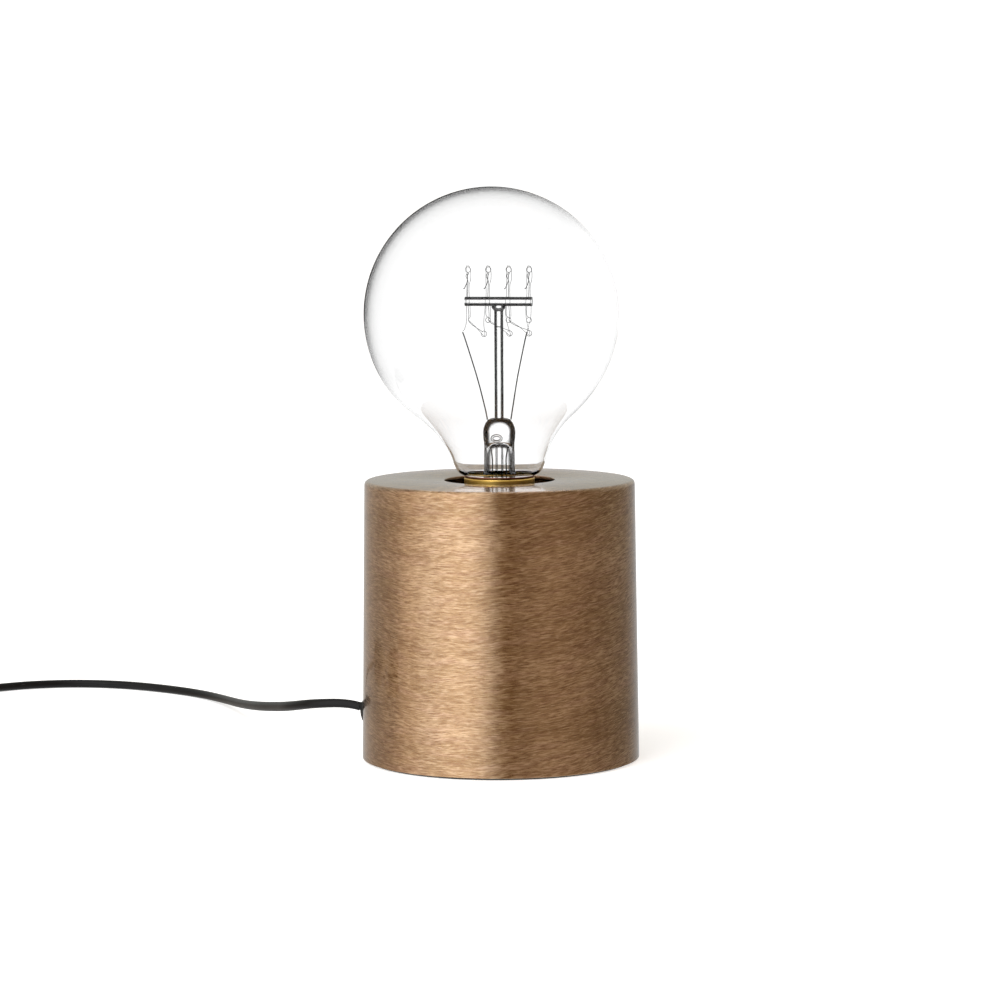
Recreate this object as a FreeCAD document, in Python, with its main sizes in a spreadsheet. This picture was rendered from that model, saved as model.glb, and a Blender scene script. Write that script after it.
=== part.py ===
# A table lamp with no shade: a drawn brass-coloured can on a steel plate, a screw lampholder held
# inside it on a bracket, one large clear globe bulb that stands out of a round hole in the can's
# top, and a cord with a switch and a flat plug.
# Millimetres. +Z is up, and the origin is on the table, under the can's axis. The photograph looks
# along +Y, with +X to the right.
import FreeCAD, Part
import math
import os
import Sketcher

os.makedirs("parts", exist_ok=True)
vector = FreeCAD.Vector
doc = FreeCAD.newDocument("table_lamp")

# ---------------------------------------------------------------------------------- sizes
SIZES = {
    # the can
    "shell_height": 105.0,
    "shell_foot_radius": 51.9,
    "shell_top_radius": 50.45,
    "shell_wall": 1.2,
    "shell_edge_radius": 1.8,
    "shell_foot_gap": 0.8,
    "shell_hole_radius": 20.6,
    # the plate, its pad, and the welded tabs that hold the can on it
    "pad_thickness": 1.4,
    "pad_margin": 0.6,
    "plate_thickness": 3.0,
    "plate_clearance": 0.35,
    "tab_width": 11.0,
    "tab_reach": 11.0,
    "tab_rise": 12.0,
    "tab_sheet": 1.8,
    "tab_wall_gap": 0.1,
    "tab_count": 3,
    # small screws through the plate
    "screw_radius": 2.0,
    "screw_clearance": 0.15,
    "thread_clearance": 0.05,
    "screw_head_radius": 3.7,
    "screw_head_height": 1.5,
    "recess_clearance": 0.3,
    "screw_length": 6.5,
    # the bracket that carries the lampholder
    "bracket_width": 18.0,
    "bracket_sheet": 2.0,
    "bracket_half_span": 17.0,
    "bracket_foot": 12.0,
    "nut_flats": 7.0,
    "nut_height": 3.0,
    # the hollow threaded nipple with its nut and washer
    "nipple_radius": 4.95,
    "nipple_bore": 3.9,
    "nipple_length": 14.0,
    "nipple_drop": 6.0,
    "nipple_clearance": 0.1,
    "big_nut_flats": 14.0,
    "big_nut_height": 3.0,
    "washer_radius": 8.0,
    "washer_thickness": 0.8,
    # the lampholder
    "holder_radius": 19.0,
    "holder_wall": 1.6,
    "socket_radius": 8.5,
    "dome_radius": 10.5,
    "dome_wall": 3.5,
    "dome_rise": 16.5,
    "dome_shoulder": 0.9,
    "spigot_height": 8.0,
    "spigot_wall": 1.3,
    "holder_step": 1.4,
    "insulator_height": 13.8,
    "lip_clearance": 1.0,
    "lip_thickness": 2.0,
    "rim_drop": 7.1,
    "fit_clearance": 0.1,
    "terminal_reach": 9.0,
    "terminal_length": 5.0,
    "terminal_height": 6.8,
    "wire_diameter": 1.8,
    "small_screw_radius": 1.45,
    "small_head_radius": 2.6,
    "small_head_height": 1.4,
    "contact_sheet": 0.5,
    "contact_width": 5.0,
    "tongue_half_length": 3.0,
    "tongue_rise_foot": 5.2,
    "tongue_rise_top": 1.8,
    "grub_rise": 3.5,
    # the screw thread shared by the lampholder and the bulb's cap
    "thread_pitch": 3.629,
    "thread_bead": 1.0,
    "cap_core_radius": 12.15,
    "thread_gap": 1.3,
    "screw_shell_wall": 1.0,
    "screw_shell_height": 23.0,
    "shell_end_gap": 0.9,
    # the bulb
    "globe_radius": 47.5,
    "globe_centre": 61.5,
    "glass_wall": 0.8,
    "neck_clearance": 0.1,
    "cap_collar_radius": 13.2,
    "cap_wall": 0.6,
    "cap_rise": 0.9,
    "cap_height": 26.4,
    "cap_bead_rise": 6.5,
    "cap_end_rise": 3.3,
    "cap_end_radius": 8.75,
    "cap_seat_radius": 10.0,
    "cap_seat_rise": 5.5,
    "tip_rise": 0.9,
    "tip_radius": 4.4,
    "neck_foot_drop": 5.3,
    "neck_edge_radius": 4.6,
    "neck_radius": 16.95,
    "neck_height": 4.9,
    "waist_radius": 19.95,
    "waist_height": 12.5,
    "waist_curve": 21.5,
    "shoulder_radius": 26.0,
    "shoulder_height": 21.0,
    "collar_height": 6.2,
    "contact_gap": 0.1,
    "stem_radius": 5.8,
    "stem_wall": 1.0,
    "flare_radius": 11.2,
    "flare_drop": 5.2,
    "stem_waist": 13.0,
    "stem_shoulder": 22.6,
    "pinch_half_width": 6.1,
    "pinch_half_depth": 2.6,
    "exhaust_radius": 1.5,
    "exhaust_bore": 0.9,
    "exhaust_foot": 12.0,
    "rod_radius": 1.7,
    "weld_radius": 2.7,
    "weld_height": 6.5,
    "bar_radius": 1.75,
    "bar_length": 25.3,
    "bar_height": 66.4,
    "bar_turn": -9.0,
    "eyelet_height": 78.2,
    "eyelet_pitch": 7.67,
    "eyelet_radius": 1.0,
    "eyelet_stem_diameter": 0.32,
    "support_diameter": 0.4,
    "hook_height": 54.5,
    "tail_bend": 6.0,
    "lead_end_height": 54.6,
    "lead_spread": 4.4,
    "lead_bend": 9.0,
    "lead_diameter": 0.5,
    "filament_diameter": 0.25,
    # the cord, its grommet and its clamp
    "cord_diameter": 3.5,
    "grommet_height": 17.2,
    "cord_rise": 1.4,
    "cord_clearance": 0.1,
    "exit_angle": 172.0,
    "flange_radius": 4.6,
    "flange_height": 1.6,
    "grommet_neck_radius": 3.6,
    "grommet_tail": 7.5,
    "clamp_distance": 18.5,
    "clamp_length": 8.0,
    "clamp_half_width": 9.5,
    "clamp_height": 5.0,
    # the coil and its tie
    "coil_x": -232.0,
    "coil_y": 6.5,
    "coil_inner": 16.2,
    "coil_pitch": 4.7,
    "coil_layer": 4.5,
    "tie_sheet": 0.6,
    "tie_width": 4.0,
    "tie_clearance": 0.3,
    # the switch on the cord
    "switch_x": -229.5,
    "switch_y": 105.0,
    "switch_half_length": 29.0,
    "switch_half_width": 12.5,
    "switch_nose": 8.0,
    "switch_parting": 7.5,
    "switch_height": 17.5,
    "switch_wall": 1.8,
    "rocker_radius": 9.4,
    "rocker_half_width": 5.6,
    "rocker_crown": 5.2,
    "rocker_stem": 3.4,
    "bridge_half_length": 6.0,
    "bridge_sheet": 0.7,
    "contact_height": 8.9,
    "rocker_pivot": 14.0,
    "rocker_pin_radius": 1.1,
    "rocker_pin_length": 1.6,
    "rocker_clearance": 0.35,
    "rocker_tilt": 8.0,
    # the plug
    "plug_x": -262.0,
    "plug_tail_y": 66.0,
    "plug_tail_length": 22.0,
    "plug_body_length": 36.0,
    "plug_half_width": 17.65,
    "plug_flat_half_width": 13.05,
    "plug_back_half_width": 9.0,
    "plug_thickness": 13.7,
    "pin_radius": 2.0,
    "pin_root_radius": 1.7,
    "pin_shoulder": 0.3,
    "pin_length": 19.0,
    "pin_pitch": 18.6,
    "pin_root": 8.0,
}


class Size:
    """A size: its value, and the expression that gives it from the sheet."""

    def __init__(self, value, text=None):
        self.value = float(value)
        self.text = text if text else f"{float(value):.12f}"

    def __add__(self, other):
        other = sized(other)
        return Size(self.value + other.value, f"({self.text} + {other.text})")

    def __sub__(self, other):
        other = sized(other)
        return Size(self.value - other.value, f"({self.text} - {other.text})")

    def __mul__(self, other):
        other = sized(other)
        return Size(self.value * other.value, f"({self.text} * {other.text})")

    def __truediv__(self, other):
        other = sized(other)
        return Size(self.value / other.value, f"({self.text} / {other.text})")

    def __neg__(self):
        return Size(-self.value, f"(0 - {self.text})")

    __radd__ = __add__
    __rmul__ = __mul__

    def __rsub__(self, other):
        return sized(other) - self


def sized(thing):
    return thing if isinstance(thing, Size) else Size(thing)


sheet = doc.addObject("Spreadsheet::Sheet", "sizes")
for row, (alias, value) in enumerate(SIZES.items(), start=1):
    sheet.set(f"A{row}", alias)
    sheet.set(f"B{row}", str(value))
    sheet.setAlias(f"B{row}", alias)
doc.recompute()


def size(alias):
    """The named cell of the sheet."""
    return Size(sheet.get(alias), f"sizes.{alias}")


# ------------------------------------------------------------------- ways to make a piece
nodes = []


def keep(node, label):
    """Name a finished piece: its label is its node's name."""
    node.Label = label
    nodes.append(node)
    return node


def bind(thing, prop, length):
    thing.setExpression(prop, sized(length).text)


def place(thing, x=0, y=0, z=0, axis=(0, 0, 1), angle=0):
    thing.Placement = FreeCAD.Placement(vector(), FreeCAD.Rotation(vector(*axis), float(angle)))
    for letter, length in zip("xyz", (x, y, z)):
        bind(thing, f"Placement.Base.{letter}", length)
    return thing


def cylinder(radius, height, x=0, y=0, z=0, axis=(0, 0, 1), angle=0):
    thing = doc.addObject("Part::Cylinder", "Cylinder")
    bind(thing, "Radius", radius)
    bind(thing, "Height", height)
    return place(thing, x, y, z, axis, angle)


def box(length, width, height, x=0, y=0, z=0):
    """A box centred on x and y, standing on z."""
    thing = doc.addObject("Part::Box", "Box")
    bind(thing, "Length", length)
    bind(thing, "Width", width)
    bind(thing, "Height", height)
    return place(thing, sized(x) - sized(length) / 2, sized(y) - sized(width) / 2, z)


def prism(flats, height, x=0, y=0, z=0):
    """A hexagon that measures flats across."""
    thing = doc.addObject("Part::Prism", "Prism")
    thing.Polygon = 6
    bind(thing, "Circumradius", sized(flats) / 2 / math.cos(math.pi / 6))
    bind(thing, "Height", height)
    return place(thing, x, y, z)


def cut(base, *tools):
    for tool in tools:
        result = doc.addObject("Part::Cut", "Cut")
        result.Base = base
        result.Tool = tool
        base = result
    return base


def fuse(*pieces):
    result = doc.addObject("Part::MultiFuse", "Fuse")
    result.Shapes = list(pieces)
    return result


def common(first, second):
    result = doc.addObject("Part::Common", "Common")
    result.Base = first
    result.Tool = second
    return result


def group(*pieces):
    """Separate solids that share a node."""
    result = doc.addObject("Part::Compound", "Group")
    result.Links = list(pieces)
    return result


def shaped(shape):
    result = doc.addObject("Part::Feature", "Shaped")
    result.Shape = shape
    return result


def new_body():
    return doc.addObject("PartDesign::Body", "Body")


def sketch_on(body, plane, lift=0):
    """A sketch on one of the body's own origin planes, lifted along that plane's normal."""
    sketch = body.newObject("Sketcher::SketchObject", "Sketch")
    origin = next(item for item in body.Origin.OriginFeatures if item.Role == plane)
    sketch.AttachmentSupport = [(origin, "")]
    sketch.MapMode = "FlatFace"
    bind(sketch, "AttachmentOffset.Base.z", lift)
    return sketch


def hold(sketch, kind, length, *places):
    """Add a driving dimension that follows the sheet."""
    index = sketch.addConstraint(Sketcher.Constraint(kind, *places, sized(length).value))
    sketch.setExpression(f"Constraints[{index}]", sized(length).text)


def outline(sketch, corners):
    """Draw a closed outline. Each corner is (x, y) or (x, y, radius): with a radius, an arc leads to
    the next corner, anticlockwise where the radius is positive."""
    first = sketch.GeometryCount
    count = len(corners)
    ends = []
    for index, corner in enumerate(corners):
        here = vector(sized(corner[0]).value, sized(corner[1]).value)
        after = corners[(index + 1) % count]
        there = vector(sized(after[0]).value, sized(after[1]).value)
        if len(corner) == 2:
            sketch.addGeometry(Part.LineSegment(here, there), False)
            ends.append((1, 2))
            continue
        radius = sized(corner[2]).value
        chord = there - here
        rise = math.sqrt(max(radius * radius - chord.Length * chord.Length / 4, 0))
        side = vector(-chord.y, chord.x).normalize() * math.copysign(rise, radius)
        centre = (here + there) * 0.5 + side
        start, stop = (here, there) if radius > 0 else (there, here)
        angles = [math.atan2(point.y - centre.y, point.x - centre.x) for point in (start, stop)]
        circle = Part.Circle(centre, vector(0, 0, 1), abs(radius))
        sketch.addGeometry(Part.ArcOfCircle(circle, angles[0], angles[1]), False)
        ends.append((1, 2) if radius > 0 else (2, 1))
    for index in range(count):
        after = (index + 1) % count
        sketch.addConstraint(
            Sketcher.Constraint("Coincident", first + index, ends[index][1], first + after, ends[after][0])
        )
    for index, corner in enumerate(corners):
        hold(sketch, "DistanceX", corner[0], -1, 1, first + index, ends[index][0])
        hold(sketch, "DistanceY", corner[1], -1, 1, first + index, ends[index][0])
        if len(corner) == 3:
            radius = sized(corner[2])
            hold(sketch, "Radius", radius if radius.value > 0 else -radius, first + index)


def ring(sketch, radius, x=0, y=0):
    """Draw a circle."""
    centre = vector(sized(x).value, sized(y).value)
    index = sketch.addGeometry(Part.Circle(centre, vector(0, 0, 1), sized(radius).value), False)
    hold(sketch, "Radius", radius, index)
    hold(sketch, "DistanceX", x, -1, 1, index, 3)
    hold(sketch, "DistanceY", y, -1, 1, index, 3)


def turned(corners):
    """A body turned about the Z axis from an outline of (radius, height) corners."""
    body = new_body()
    sketch = sketch_on(body, "XZ_Plane")
    outline(sketch, corners)
    turn = body.newObject("PartDesign::Revolution", "Revolution")
    turn.Profile = sketch
    turn.ReferenceAxis = (sketch, ["V_Axis"])
    turn.Angle = 360
    return body


def padded(corners, length, plane="XY_Plane", lift=0, symmetric=False):
    """A body padded from an outline."""
    body = new_body()
    sketch = sketch_on(body, plane, lift)
    outline(sketch, corners)
    pad = body.newObject("PartDesign::Pad", "Pad")
    pad.Profile = sketch
    bind(pad, "Length", length)
    if symmetric:
        pad.SideType = "Symmetric"
    return body


def pocket(body, plane, lift, depth, draw):
    """A pocket from a sketch that draw(sketch) fills; it cuts against the plane's normal."""
    sketch = sketch_on(body, plane, lift)
    draw(sketch)
    result = body.newObject("PartDesign::Pocket", "Pocket")
    result.Profile = sketch
    bind(result, "Length", depth)
    return result


def around(distance, angle):
    """The point at this distance from the Z axis, at this angle from +X."""
    turn = math.radians(sized(angle).value)
    distance = sized(distance)
    return distance * math.cos(turn), distance * math.sin(turn)


def path_of(points):
    """Straight runs through the points, joined by tangent arcs as large as the runs allow."""
    points = [vector(*point) for point in points]
    edges = []
    radii = []
    last = points[0]
    for before, corner, after in zip(points, points[1:], points[2:]):
        inward = (corner - before).normalize()
        outward = (after - corner).normalize()
        half_turn = inward.getAngle(outward) / 2
        reach = 0.45 * min((corner - before).Length, (after - corner).Length)
        radius = reach / math.tan(half_turn)
        start = corner - inward * reach
        stop = corner + outward * reach
        bisector = (outward - inward).normalize()
        middle = corner + bisector * (radius / math.cos(half_turn) - radius)
        edges.append(Part.LineSegment(last, start).toShape())
        edges.append(Part.Arc(start, middle, stop).toShape())
        radii.append(radius)
        last = stop
    edges.append(Part.LineSegment(last, points[-1]).toShape())
    return Part.Wire(edges), radii


def pipe(path, start, heading, diameter):
    """A round solid of this diameter along a path."""
    section = Part.Wire([Part.Circle(start, heading, diameter / 2).toShape()])
    return path.makePipeShell([section], True, False)


def tube(points, diameter, name=None):
    """A round tube along the points. A named one prints its tightest bend, length and volume check."""
    path, radii = path_of(points)
    start = vector(*points[0])
    solid = pipe(path, start, vector(*points[1]) - start, diameter)
    if name:
        expected = math.pi * diameter * diameter / 4 * path.Length
        print(f"{name}: length {path.Length:.1f}, tightest radius {min(radii):.1f}, "
              f"volume over section times length {solid.Volume / expected:.4f}")
    return solid


def helix_bead(root, centre, start, turns):
    """A bead wound right-handed at the thread's pitch. It is round about the centre radius, and flat at
    the root radius, which lies inside the wall that the bead stands on."""
    pitch = size("thread_pitch").value
    bead = size("thread_bead").value
    half = math.sqrt(bead * bead - (centre - root) ** 2)
    crest = centre + math.copysign(bead, centre - root)
    low, high = vector(root, 0, -half), vector(root, 0, half)
    section = Part.Wire([
        Part.Arc(low, vector(crest, 0, 0), high).toShape(),
        Part.LineSegment(high, low).toShape(),
    ])
    path = Part.Wire(Part.makeHelix(pitch, turns * pitch, centre))
    solid = path.makePipeShell([section], True, True)
    solid.translate(vector(0, 0, start))
    return shaped(solid)


def threaded(wall, bead):
    """A wall with its bead; the merging of neighbouring faces is left out, as it spoils wound ones."""
    result = fuse(wall, bead)
    result.Refine = False
    return result


# -------------------------------------------------------------------- heights and angles
pad_top = size("pad_thickness")
plate_top = pad_top + size("plate_thickness")
exit_angle = size("exit_angle")
top = size("shell_height")
rim_top = top - size("rim_drop")
lip_foot = rim_top - size("lip_thickness")
insulator_top = lip_foot - size("shell_end_gap") - size("screw_shell_height")
insulator_foot = insulator_top - size("insulator_height")
dome_top = insulator_foot - size("dome_shoulder")
holder_foot = dome_top - size("dome_rise")
bracket_top = holder_foot - size("washer_thickness")
cord_height = size("grommet_height") + size("cord_rise")
tab_angles = [exit_angle.value + 360 / SIZES["tab_count"] * (index + 0.5) for index in range(SIZES["tab_count"])]


# ------------------------------------------------------------------------------- the can
def base_shell():
    """Drawn can with a rounded top edge, a round hole for the bulb and a small one for the cord."""
    wall = size("shell_wall")
    edge = size("shell_edge_radius")
    foot = size("shell_foot_radius")
    rim = size("shell_top_radius")
    low = size("shell_foot_gap")
    body = turned([
        (foot, low),
        (rim, top - edge, edge),
        (rim - edge, top),
        (size("shell_hole_radius"), top),
        (size("shell_hole_radius"), top - wall),
        (rim - edge, top - wall, wall - edge),
        (rim - wall, top - edge),
        (foot - wall, low),
    ])
    x, y = around(foot - wall * 4, exit_angle)
    hole = cylinder(size("grommet_neck_radius") + size("cord_clearance"), wall * 8, x, y, size("grommet_height"))
    aim(hole, exit_angle)
    keep(cut(body, hole), "base_shell")


def aim(thing, angle):
    """Turn a piece that was drawn about +Z so that +Z points outwards at this angle."""
    level = FreeCAD.Rotation(vector(0, 1, 0), 90)
    swing = FreeCAD.Rotation(vector(0, 0, 1), sized(angle).value)
    base = thing.Placement.Base
    thing.Placement = FreeCAD.Placement(base, swing.multiply(level))


def bottom_plate():
    """Steel plate that closes the can, with recessed holes for the tabs' and the bracket's screws."""
    body = new_body()
    sketch = sketch_on(body, "XY_Plane", pad_top)
    ring(sketch, size("shell_foot_radius") - size("shell_wall") - size("plate_clearance"))
    pad = body.newObject("PartDesign::Pad", "Pad")
    pad.Profile = sketch
    bind(pad, "Length", size("plate_thickness"))
    bare = size("screw_radius") + size("screw_clearance")
    recess = size("screw_head_radius") + size("recess_clearance")
    recess_depth = size("screw_head_height") + size("recess_clearance")
    centres = [around(tab_hole_distance, angle) for angle in tab_angles]
    centres += [(0, bracket_hole), (0, -bracket_hole)]

    def holes(radius):
        return lambda drawing: [ring(drawing, radius, x, y) for x, y in centres]

    pocket(body, "XY_Plane", plate_top, size("plate_thickness"), holes(bare))
    pocket(body, "XY_Plane", pad_top + recess_depth, recess_depth, holes(recess))
    clamp_x, clamp_y = clamp_centres()
    pocket(body, "XY_Plane", plate_top, size("plate_thickness") / 2, lambda drawing: [
        ring(drawing, size("small_screw_radius") + size("thread_clearance"), x, y)
        for x, y in zip(clamp_x, clamp_y)
    ])
    keep(body, "bottom_plate")


def clamp_centres():
    """The cord clamp's two screws, either side of the cord."""
    spread = size("clamp_half_width") - size("small_head_radius")
    x, y = around(size("clamp_distance"), exit_angle)
    side_x, side_y = around(spread, exit_angle + 90)
    return (x + side_x, x - side_x), (y + side_y, y - side_y)


def felt_pad():
    """Thin black pad glued under the plate; the lamp stands on it."""
    radius = size("shell_foot_radius") - size("shell_wall") - size("plate_clearance") - size("pad_margin")
    keep(cylinder(radius, size("pad_thickness")), "felt_pad")


def tab_outside(height):
    """How far out a flat tab's face can stand at this height, so that its corners clear the can's wall."""
    inside = size("shell_foot_radius") - size("shell_wall")
    lean = size("shell_top_radius") - size("shell_foot_radius")
    rise = top - size("shell_edge_radius") - size("shell_foot_gap")
    bore = inside + lean * (height - size("shell_foot_gap")) / rise
    return bore - size("tab_width") * size("tab_width") / (bore * 8) - size("tab_wall_gap")


tab_foot_outside = tab_outside(plate_top)
tab_hole_distance = tab_foot_outside - (size("tab_sheet") + size("tab_reach")) / 2
bracket_hole = size("bracket_half_span") + size("bracket_foot") / 2


def mounting_tabs():
    """Angles of steel strip, welded inside the can; their legs lean with its wall, and the plate's
    screws thread into their feet."""
    sheet_metal = size("tab_sheet")
    inner_end = tab_foot_outside - size("tab_reach")
    tip = plate_top + size("tab_rise")
    tabs = []
    for angle in tab_angles:
        body = padded([
            (inner_end, plate_top),
            (tab_foot_outside, plate_top),
            (tab_outside(tip), tip),
            (tab_outside(tip) - sheet_metal, tip),
            (tab_foot_outside - sheet_metal, plate_top + sheet_metal),
            (inner_end, plate_top + sheet_metal),
        ], size("tab_width"), "XZ_Plane", symmetric=True)
        pocket(body, "XY_Plane", plate_top + sheet_metal, sheet_metal, lambda drawing: ring(
            drawing, size("screw_radius") + size("thread_clearance"), tab_hole_distance, 0))
        place(body, axis=(0, 0, 1), angle=angle)
        tabs.append(body)
    keep(group(*tabs), "mounting_tabs")


def plate_screw(x, y, length):
    """A low-headed screw that comes up through the plate."""
    head = cylinder(size("screw_head_radius"), size("screw_head_height"), x, y, pad_top + size("recess_clearance"))
    shank = cylinder(size("screw_radius"), length, x, y, pad_top + size("recess_clearance"))
    return fuse(head, shank)


def plate_screws():
    """The screws that hold the can on its plate."""
    screws = [plate_screw(*around(tab_hole_distance, angle), size("screw_length")) for angle in tab_angles]
    keep(group(*screws), "plate_screws")


# --------------------------------------------------------- the bracket and its fastenings
def holder_bracket():
    """Steel strip bent into a bridge over the cord, with a hole in its top for the nipple."""
    sheet_metal = size("bracket_sheet")
    span = size("bracket_half_span")
    foot = span + size("bracket_foot")
    crown = bracket_top
    body = padded([
        (-foot, plate_top),
        (-(span - sheet_metal), plate_top),
        (-(span - sheet_metal), crown - sheet_metal),
        (span - sheet_metal, crown - sheet_metal),
        (span - sheet_metal, plate_top),
        (foot, plate_top),
        (foot, plate_top + sheet_metal),
        (span, plate_top + sheet_metal),
        (span, crown),
        (-span, crown),
        (-span, plate_top + sheet_metal),
        (-foot, plate_top + sheet_metal),
    ], size("bracket_width"), "YZ_Plane", symmetric=True)
    pocket(body, "XY_Plane", crown, sheet_metal, lambda drawing: ring(
        drawing, size("nipple_radius") + size("nipple_clearance")))
    pocket(body, "XY_Plane", plate_top + sheet_metal, sheet_metal, lambda drawing: [
        ring(drawing, size("screw_radius") + size("screw_clearance"), 0, y) for y in (bracket_hole, -bracket_hole)])
    keep(body, "holder_bracket")


def bracket_fastenings():
    """Two screws up through the plate and the bracket's feet, each with a nut."""
    length = plate_top + size("bracket_sheet") + size("nut_height") + 1 - pad_top - size("recess_clearance")
    keep(group(*[plate_screw(0, y, length) for y in (bracket_hole, -bracket_hole)]), "bracket_screws")
    nuts = []
    for y in (bracket_hole, -bracket_hole):
        stand = plate_top + size("bracket_sheet")
        nut = prism(size("nut_flats"), size("nut_height"), 0, y, stand)
        bore = cylinder(size("screw_radius") + size("thread_clearance"), size("nut_height"), 0, y, stand)
        nuts.append(cut(nut, bore))
    keep(group(*nuts), "bracket_nuts")


nipple_foot = bracket_top - size("nipple_drop")


def nipple_set():
    """Hollow threaded nipple through the bracket, with the nut under it and the washer on it."""
    crown = bracket_top
    barrel = cylinder(size("nipple_radius"), size("nipple_length"), 0, 0, nipple_foot)
    keep(cut(barrel, cylinder(size("nipple_bore"), size("nipple_length"), 0, 0, nipple_foot)), "nipple")
    thread = size("nipple_radius") + size("thread_clearance")
    under = crown - size("bracket_sheet") - size("big_nut_height")
    nut = prism(size("big_nut_flats"), size("big_nut_height"), 0, 0, under)
    keep(cut(nut, cylinder(thread, size("big_nut_height"), 0, 0, under)), "nipple_nut")
    washer = cylinder(size("washer_radius"), size("washer_thickness"), 0, 0, crown)
    keep(cut(washer, cylinder(thread, size("washer_thickness"), 0, 0, crown)), "nipple_washer")


# ------------------------------------------------------------------------ the lampholder
lip_radius = size("cap_collar_radius") + size("lip_clearance")
shell_bore = size("cap_core_radius") + size("thread_gap")
spigot_outside = size("holder_radius") - size("holder_step")
spigot_inside = spigot_outside - size("spigot_wall")
spigot_top = insulator_foot + size("spigot_height")
insulator_radius = spigot_inside - size("fit_clearance")
socket_floor = dome_top - (size("dome_radius") - size("dome_wall"))
grub_height = holder_foot + size("grub_rise")


def holder_cap():
    """Dome with a threaded socket below and a spigot above; the holder's other parts sit in it."""
    inner = size("dome_radius") - size("dome_wall")
    socket = size("socket_radius")
    thread = size("nipple_radius") + size("thread_clearance")
    body = turned([
        (thread, holder_foot),
        (socket, holder_foot),
        (socket, dome_top - size("dome_radius"), size("dome_radius")),
        (socket + size("dome_radius"), dome_top),
        (socket + size("dome_radius"), insulator_foot),
        (spigot_outside, insulator_foot),
        (spigot_outside, spigot_top),
        (spigot_inside, spigot_top),
        (spigot_inside, insulator_foot),
        (socket + inner, insulator_foot),
        (socket + inner, dome_top, -inner),
        (socket, socket_floor),
        (thread, socket_floor),
    ])
    x, y = around(size("nipple_radius"), 0)
    hole = cylinder(size("small_screw_radius") + size("thread_clearance"), socket, x, y, grub_height)
    aim(hole, 0)
    keep(cut(body, hole), "holder_cap")
    grub = cylinder(size("small_screw_radius"), socket - size("nipple_radius"), x + size("thread_clearance"), y,
                    grub_height)
    aim(grub, 0)
    keep(grub, "holder_grub_screw")


def terminal_screw_holes(radius, foot, height):
    return [cylinder(radius, height, x, 0, foot) for x in (size("terminal_reach"), -size("terminal_reach"))]


def holder_insulator():
    """Moulded block that carries the contacts, dropped into the dome's spigot."""
    block = cylinder(insulator_radius, size("insulator_height"), 0, 0, insulator_foot)
    bare = size("small_screw_radius") + size("screw_clearance")
    keep(cut(block, *terminal_screw_holes(bare, insulator_foot, size("insulator_height"))), "holder_insulator")


terminal_foot = insulator_foot - size("terminal_height")


def holder_terminals():
    """Two brass blocks under the insulator, with the screws that reach down into them."""
    thread = size("small_screw_radius") + size("thread_clearance")
    blocks = []
    for x in (size("terminal_reach"), -size("terminal_reach")):
        block = box(size("terminal_length"), size("terminal_length"), size("terminal_height"), x, 0, terminal_foot)
        blocks.append(cut(block, cylinder(thread, size("terminal_height"), x, 0, terminal_foot)))
    keep(group(*blocks), "holder_terminals")
    seat = insulator_top + size("contact_sheet")
    screws = []
    for x in (size("terminal_reach"), -size("terminal_reach")):
        head = cylinder(size("small_head_radius"), size("small_head_height"), x, 0, seat)
        shank = cylinder(size("small_screw_radius"), seat - terminal_foot - 2, x, 0, terminal_foot + 2)
        screws.append(fuse(head, shank))
    keep(group(*screws), "terminal_screws")


cap_tip = top + size("cap_rise") - size("cap_height")


def contacts():
    """The sprung centre tongue under the bulb's tip, and the strip that feeds the screw shell."""
    sheet_metal = size("contact_sheet")
    thread = size("small_screw_radius") + size("thread_clearance")
    tongue_top = cap_tip - size("contact_gap")
    outer = size("terminal_reach") + size("small_head_radius")
    half = size("tongue_half_length")
    low_bend = size("tongue_rise_foot")
    high_bend = size("tongue_rise_top")
    tongue = padded([
        (outer, insulator_top),
        (outer, insulator_top + sheet_metal),
        (low_bend, insulator_top + sheet_metal),
        (high_bend, tongue_top),
        (-half, tongue_top),
        (-half, tongue_top - sheet_metal),
        (high_bend - sheet_metal * 0.8, tongue_top - sheet_metal),
        (low_bend - sheet_metal * 0.8, insulator_top),
    ], size("contact_width"), "XZ_Plane", symmetric=True)
    bore = cylinder(thread, sheet_metal, size("terminal_reach"), 0, insulator_top)
    keep(cut(tongue, bore), "centre_contact")
    inner = size("terminal_reach") - size("small_head_radius") * 1.35
    reach = shell_bore - sheet_metal - inner
    strip = box(reach, size("contact_width"), sheet_metal, -(inner + reach / 2), 0, insulator_top)
    bore = cylinder(thread, sheet_metal, -size("terminal_reach"), 0, insulator_top)
    keep(cut(strip, bore), "shell_contact")


def screw_shell():
    """Threaded brass shell that stands on the insulator; its ridge is wound half a pitch off the cap's."""
    bore = shell_bore
    outside = bore + size("screw_shell_wall")
    tube_wall = cut(
        cylinder(outside, size("screw_shell_height"), 0, 0, insulator_top),
        cylinder(bore, size("screw_shell_height"), 0, 0, insulator_top),
    )
    start = cap_bead_start - size("thread_pitch") * 1.5
    wall_middle = bore + size("screw_shell_wall") / 2
    ridge = helix_bead(wall_middle.value, bore.value + 0.05, start.value, 3.7)
    keep(threaded(tube_wall, ridge), "screw_shell")


def holder_skirt():
    """Plain outer skirt, screwed down over the dome's spigot, with a lip round the bulb's cap."""
    outside = size("holder_radius")
    bore = outside - size("holder_wall")
    low = insulator_foot + 0.2
    body = turned([
        (spigot_outside + size("fit_clearance"), low),
        (outside, low),
        (outside, rim_top - 1, 1),
        (outside - 1, rim_top),
        (lip_radius, rim_top),
        (lip_radius, lip_foot),
        (bore - 0.5, lip_foot),
        (bore - 0.5, spigot_top + 0.3),
        (spigot_outside + size("fit_clearance"), spigot_top + 0.3),
    ])
    keep(body, "holder_skirt")


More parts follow.
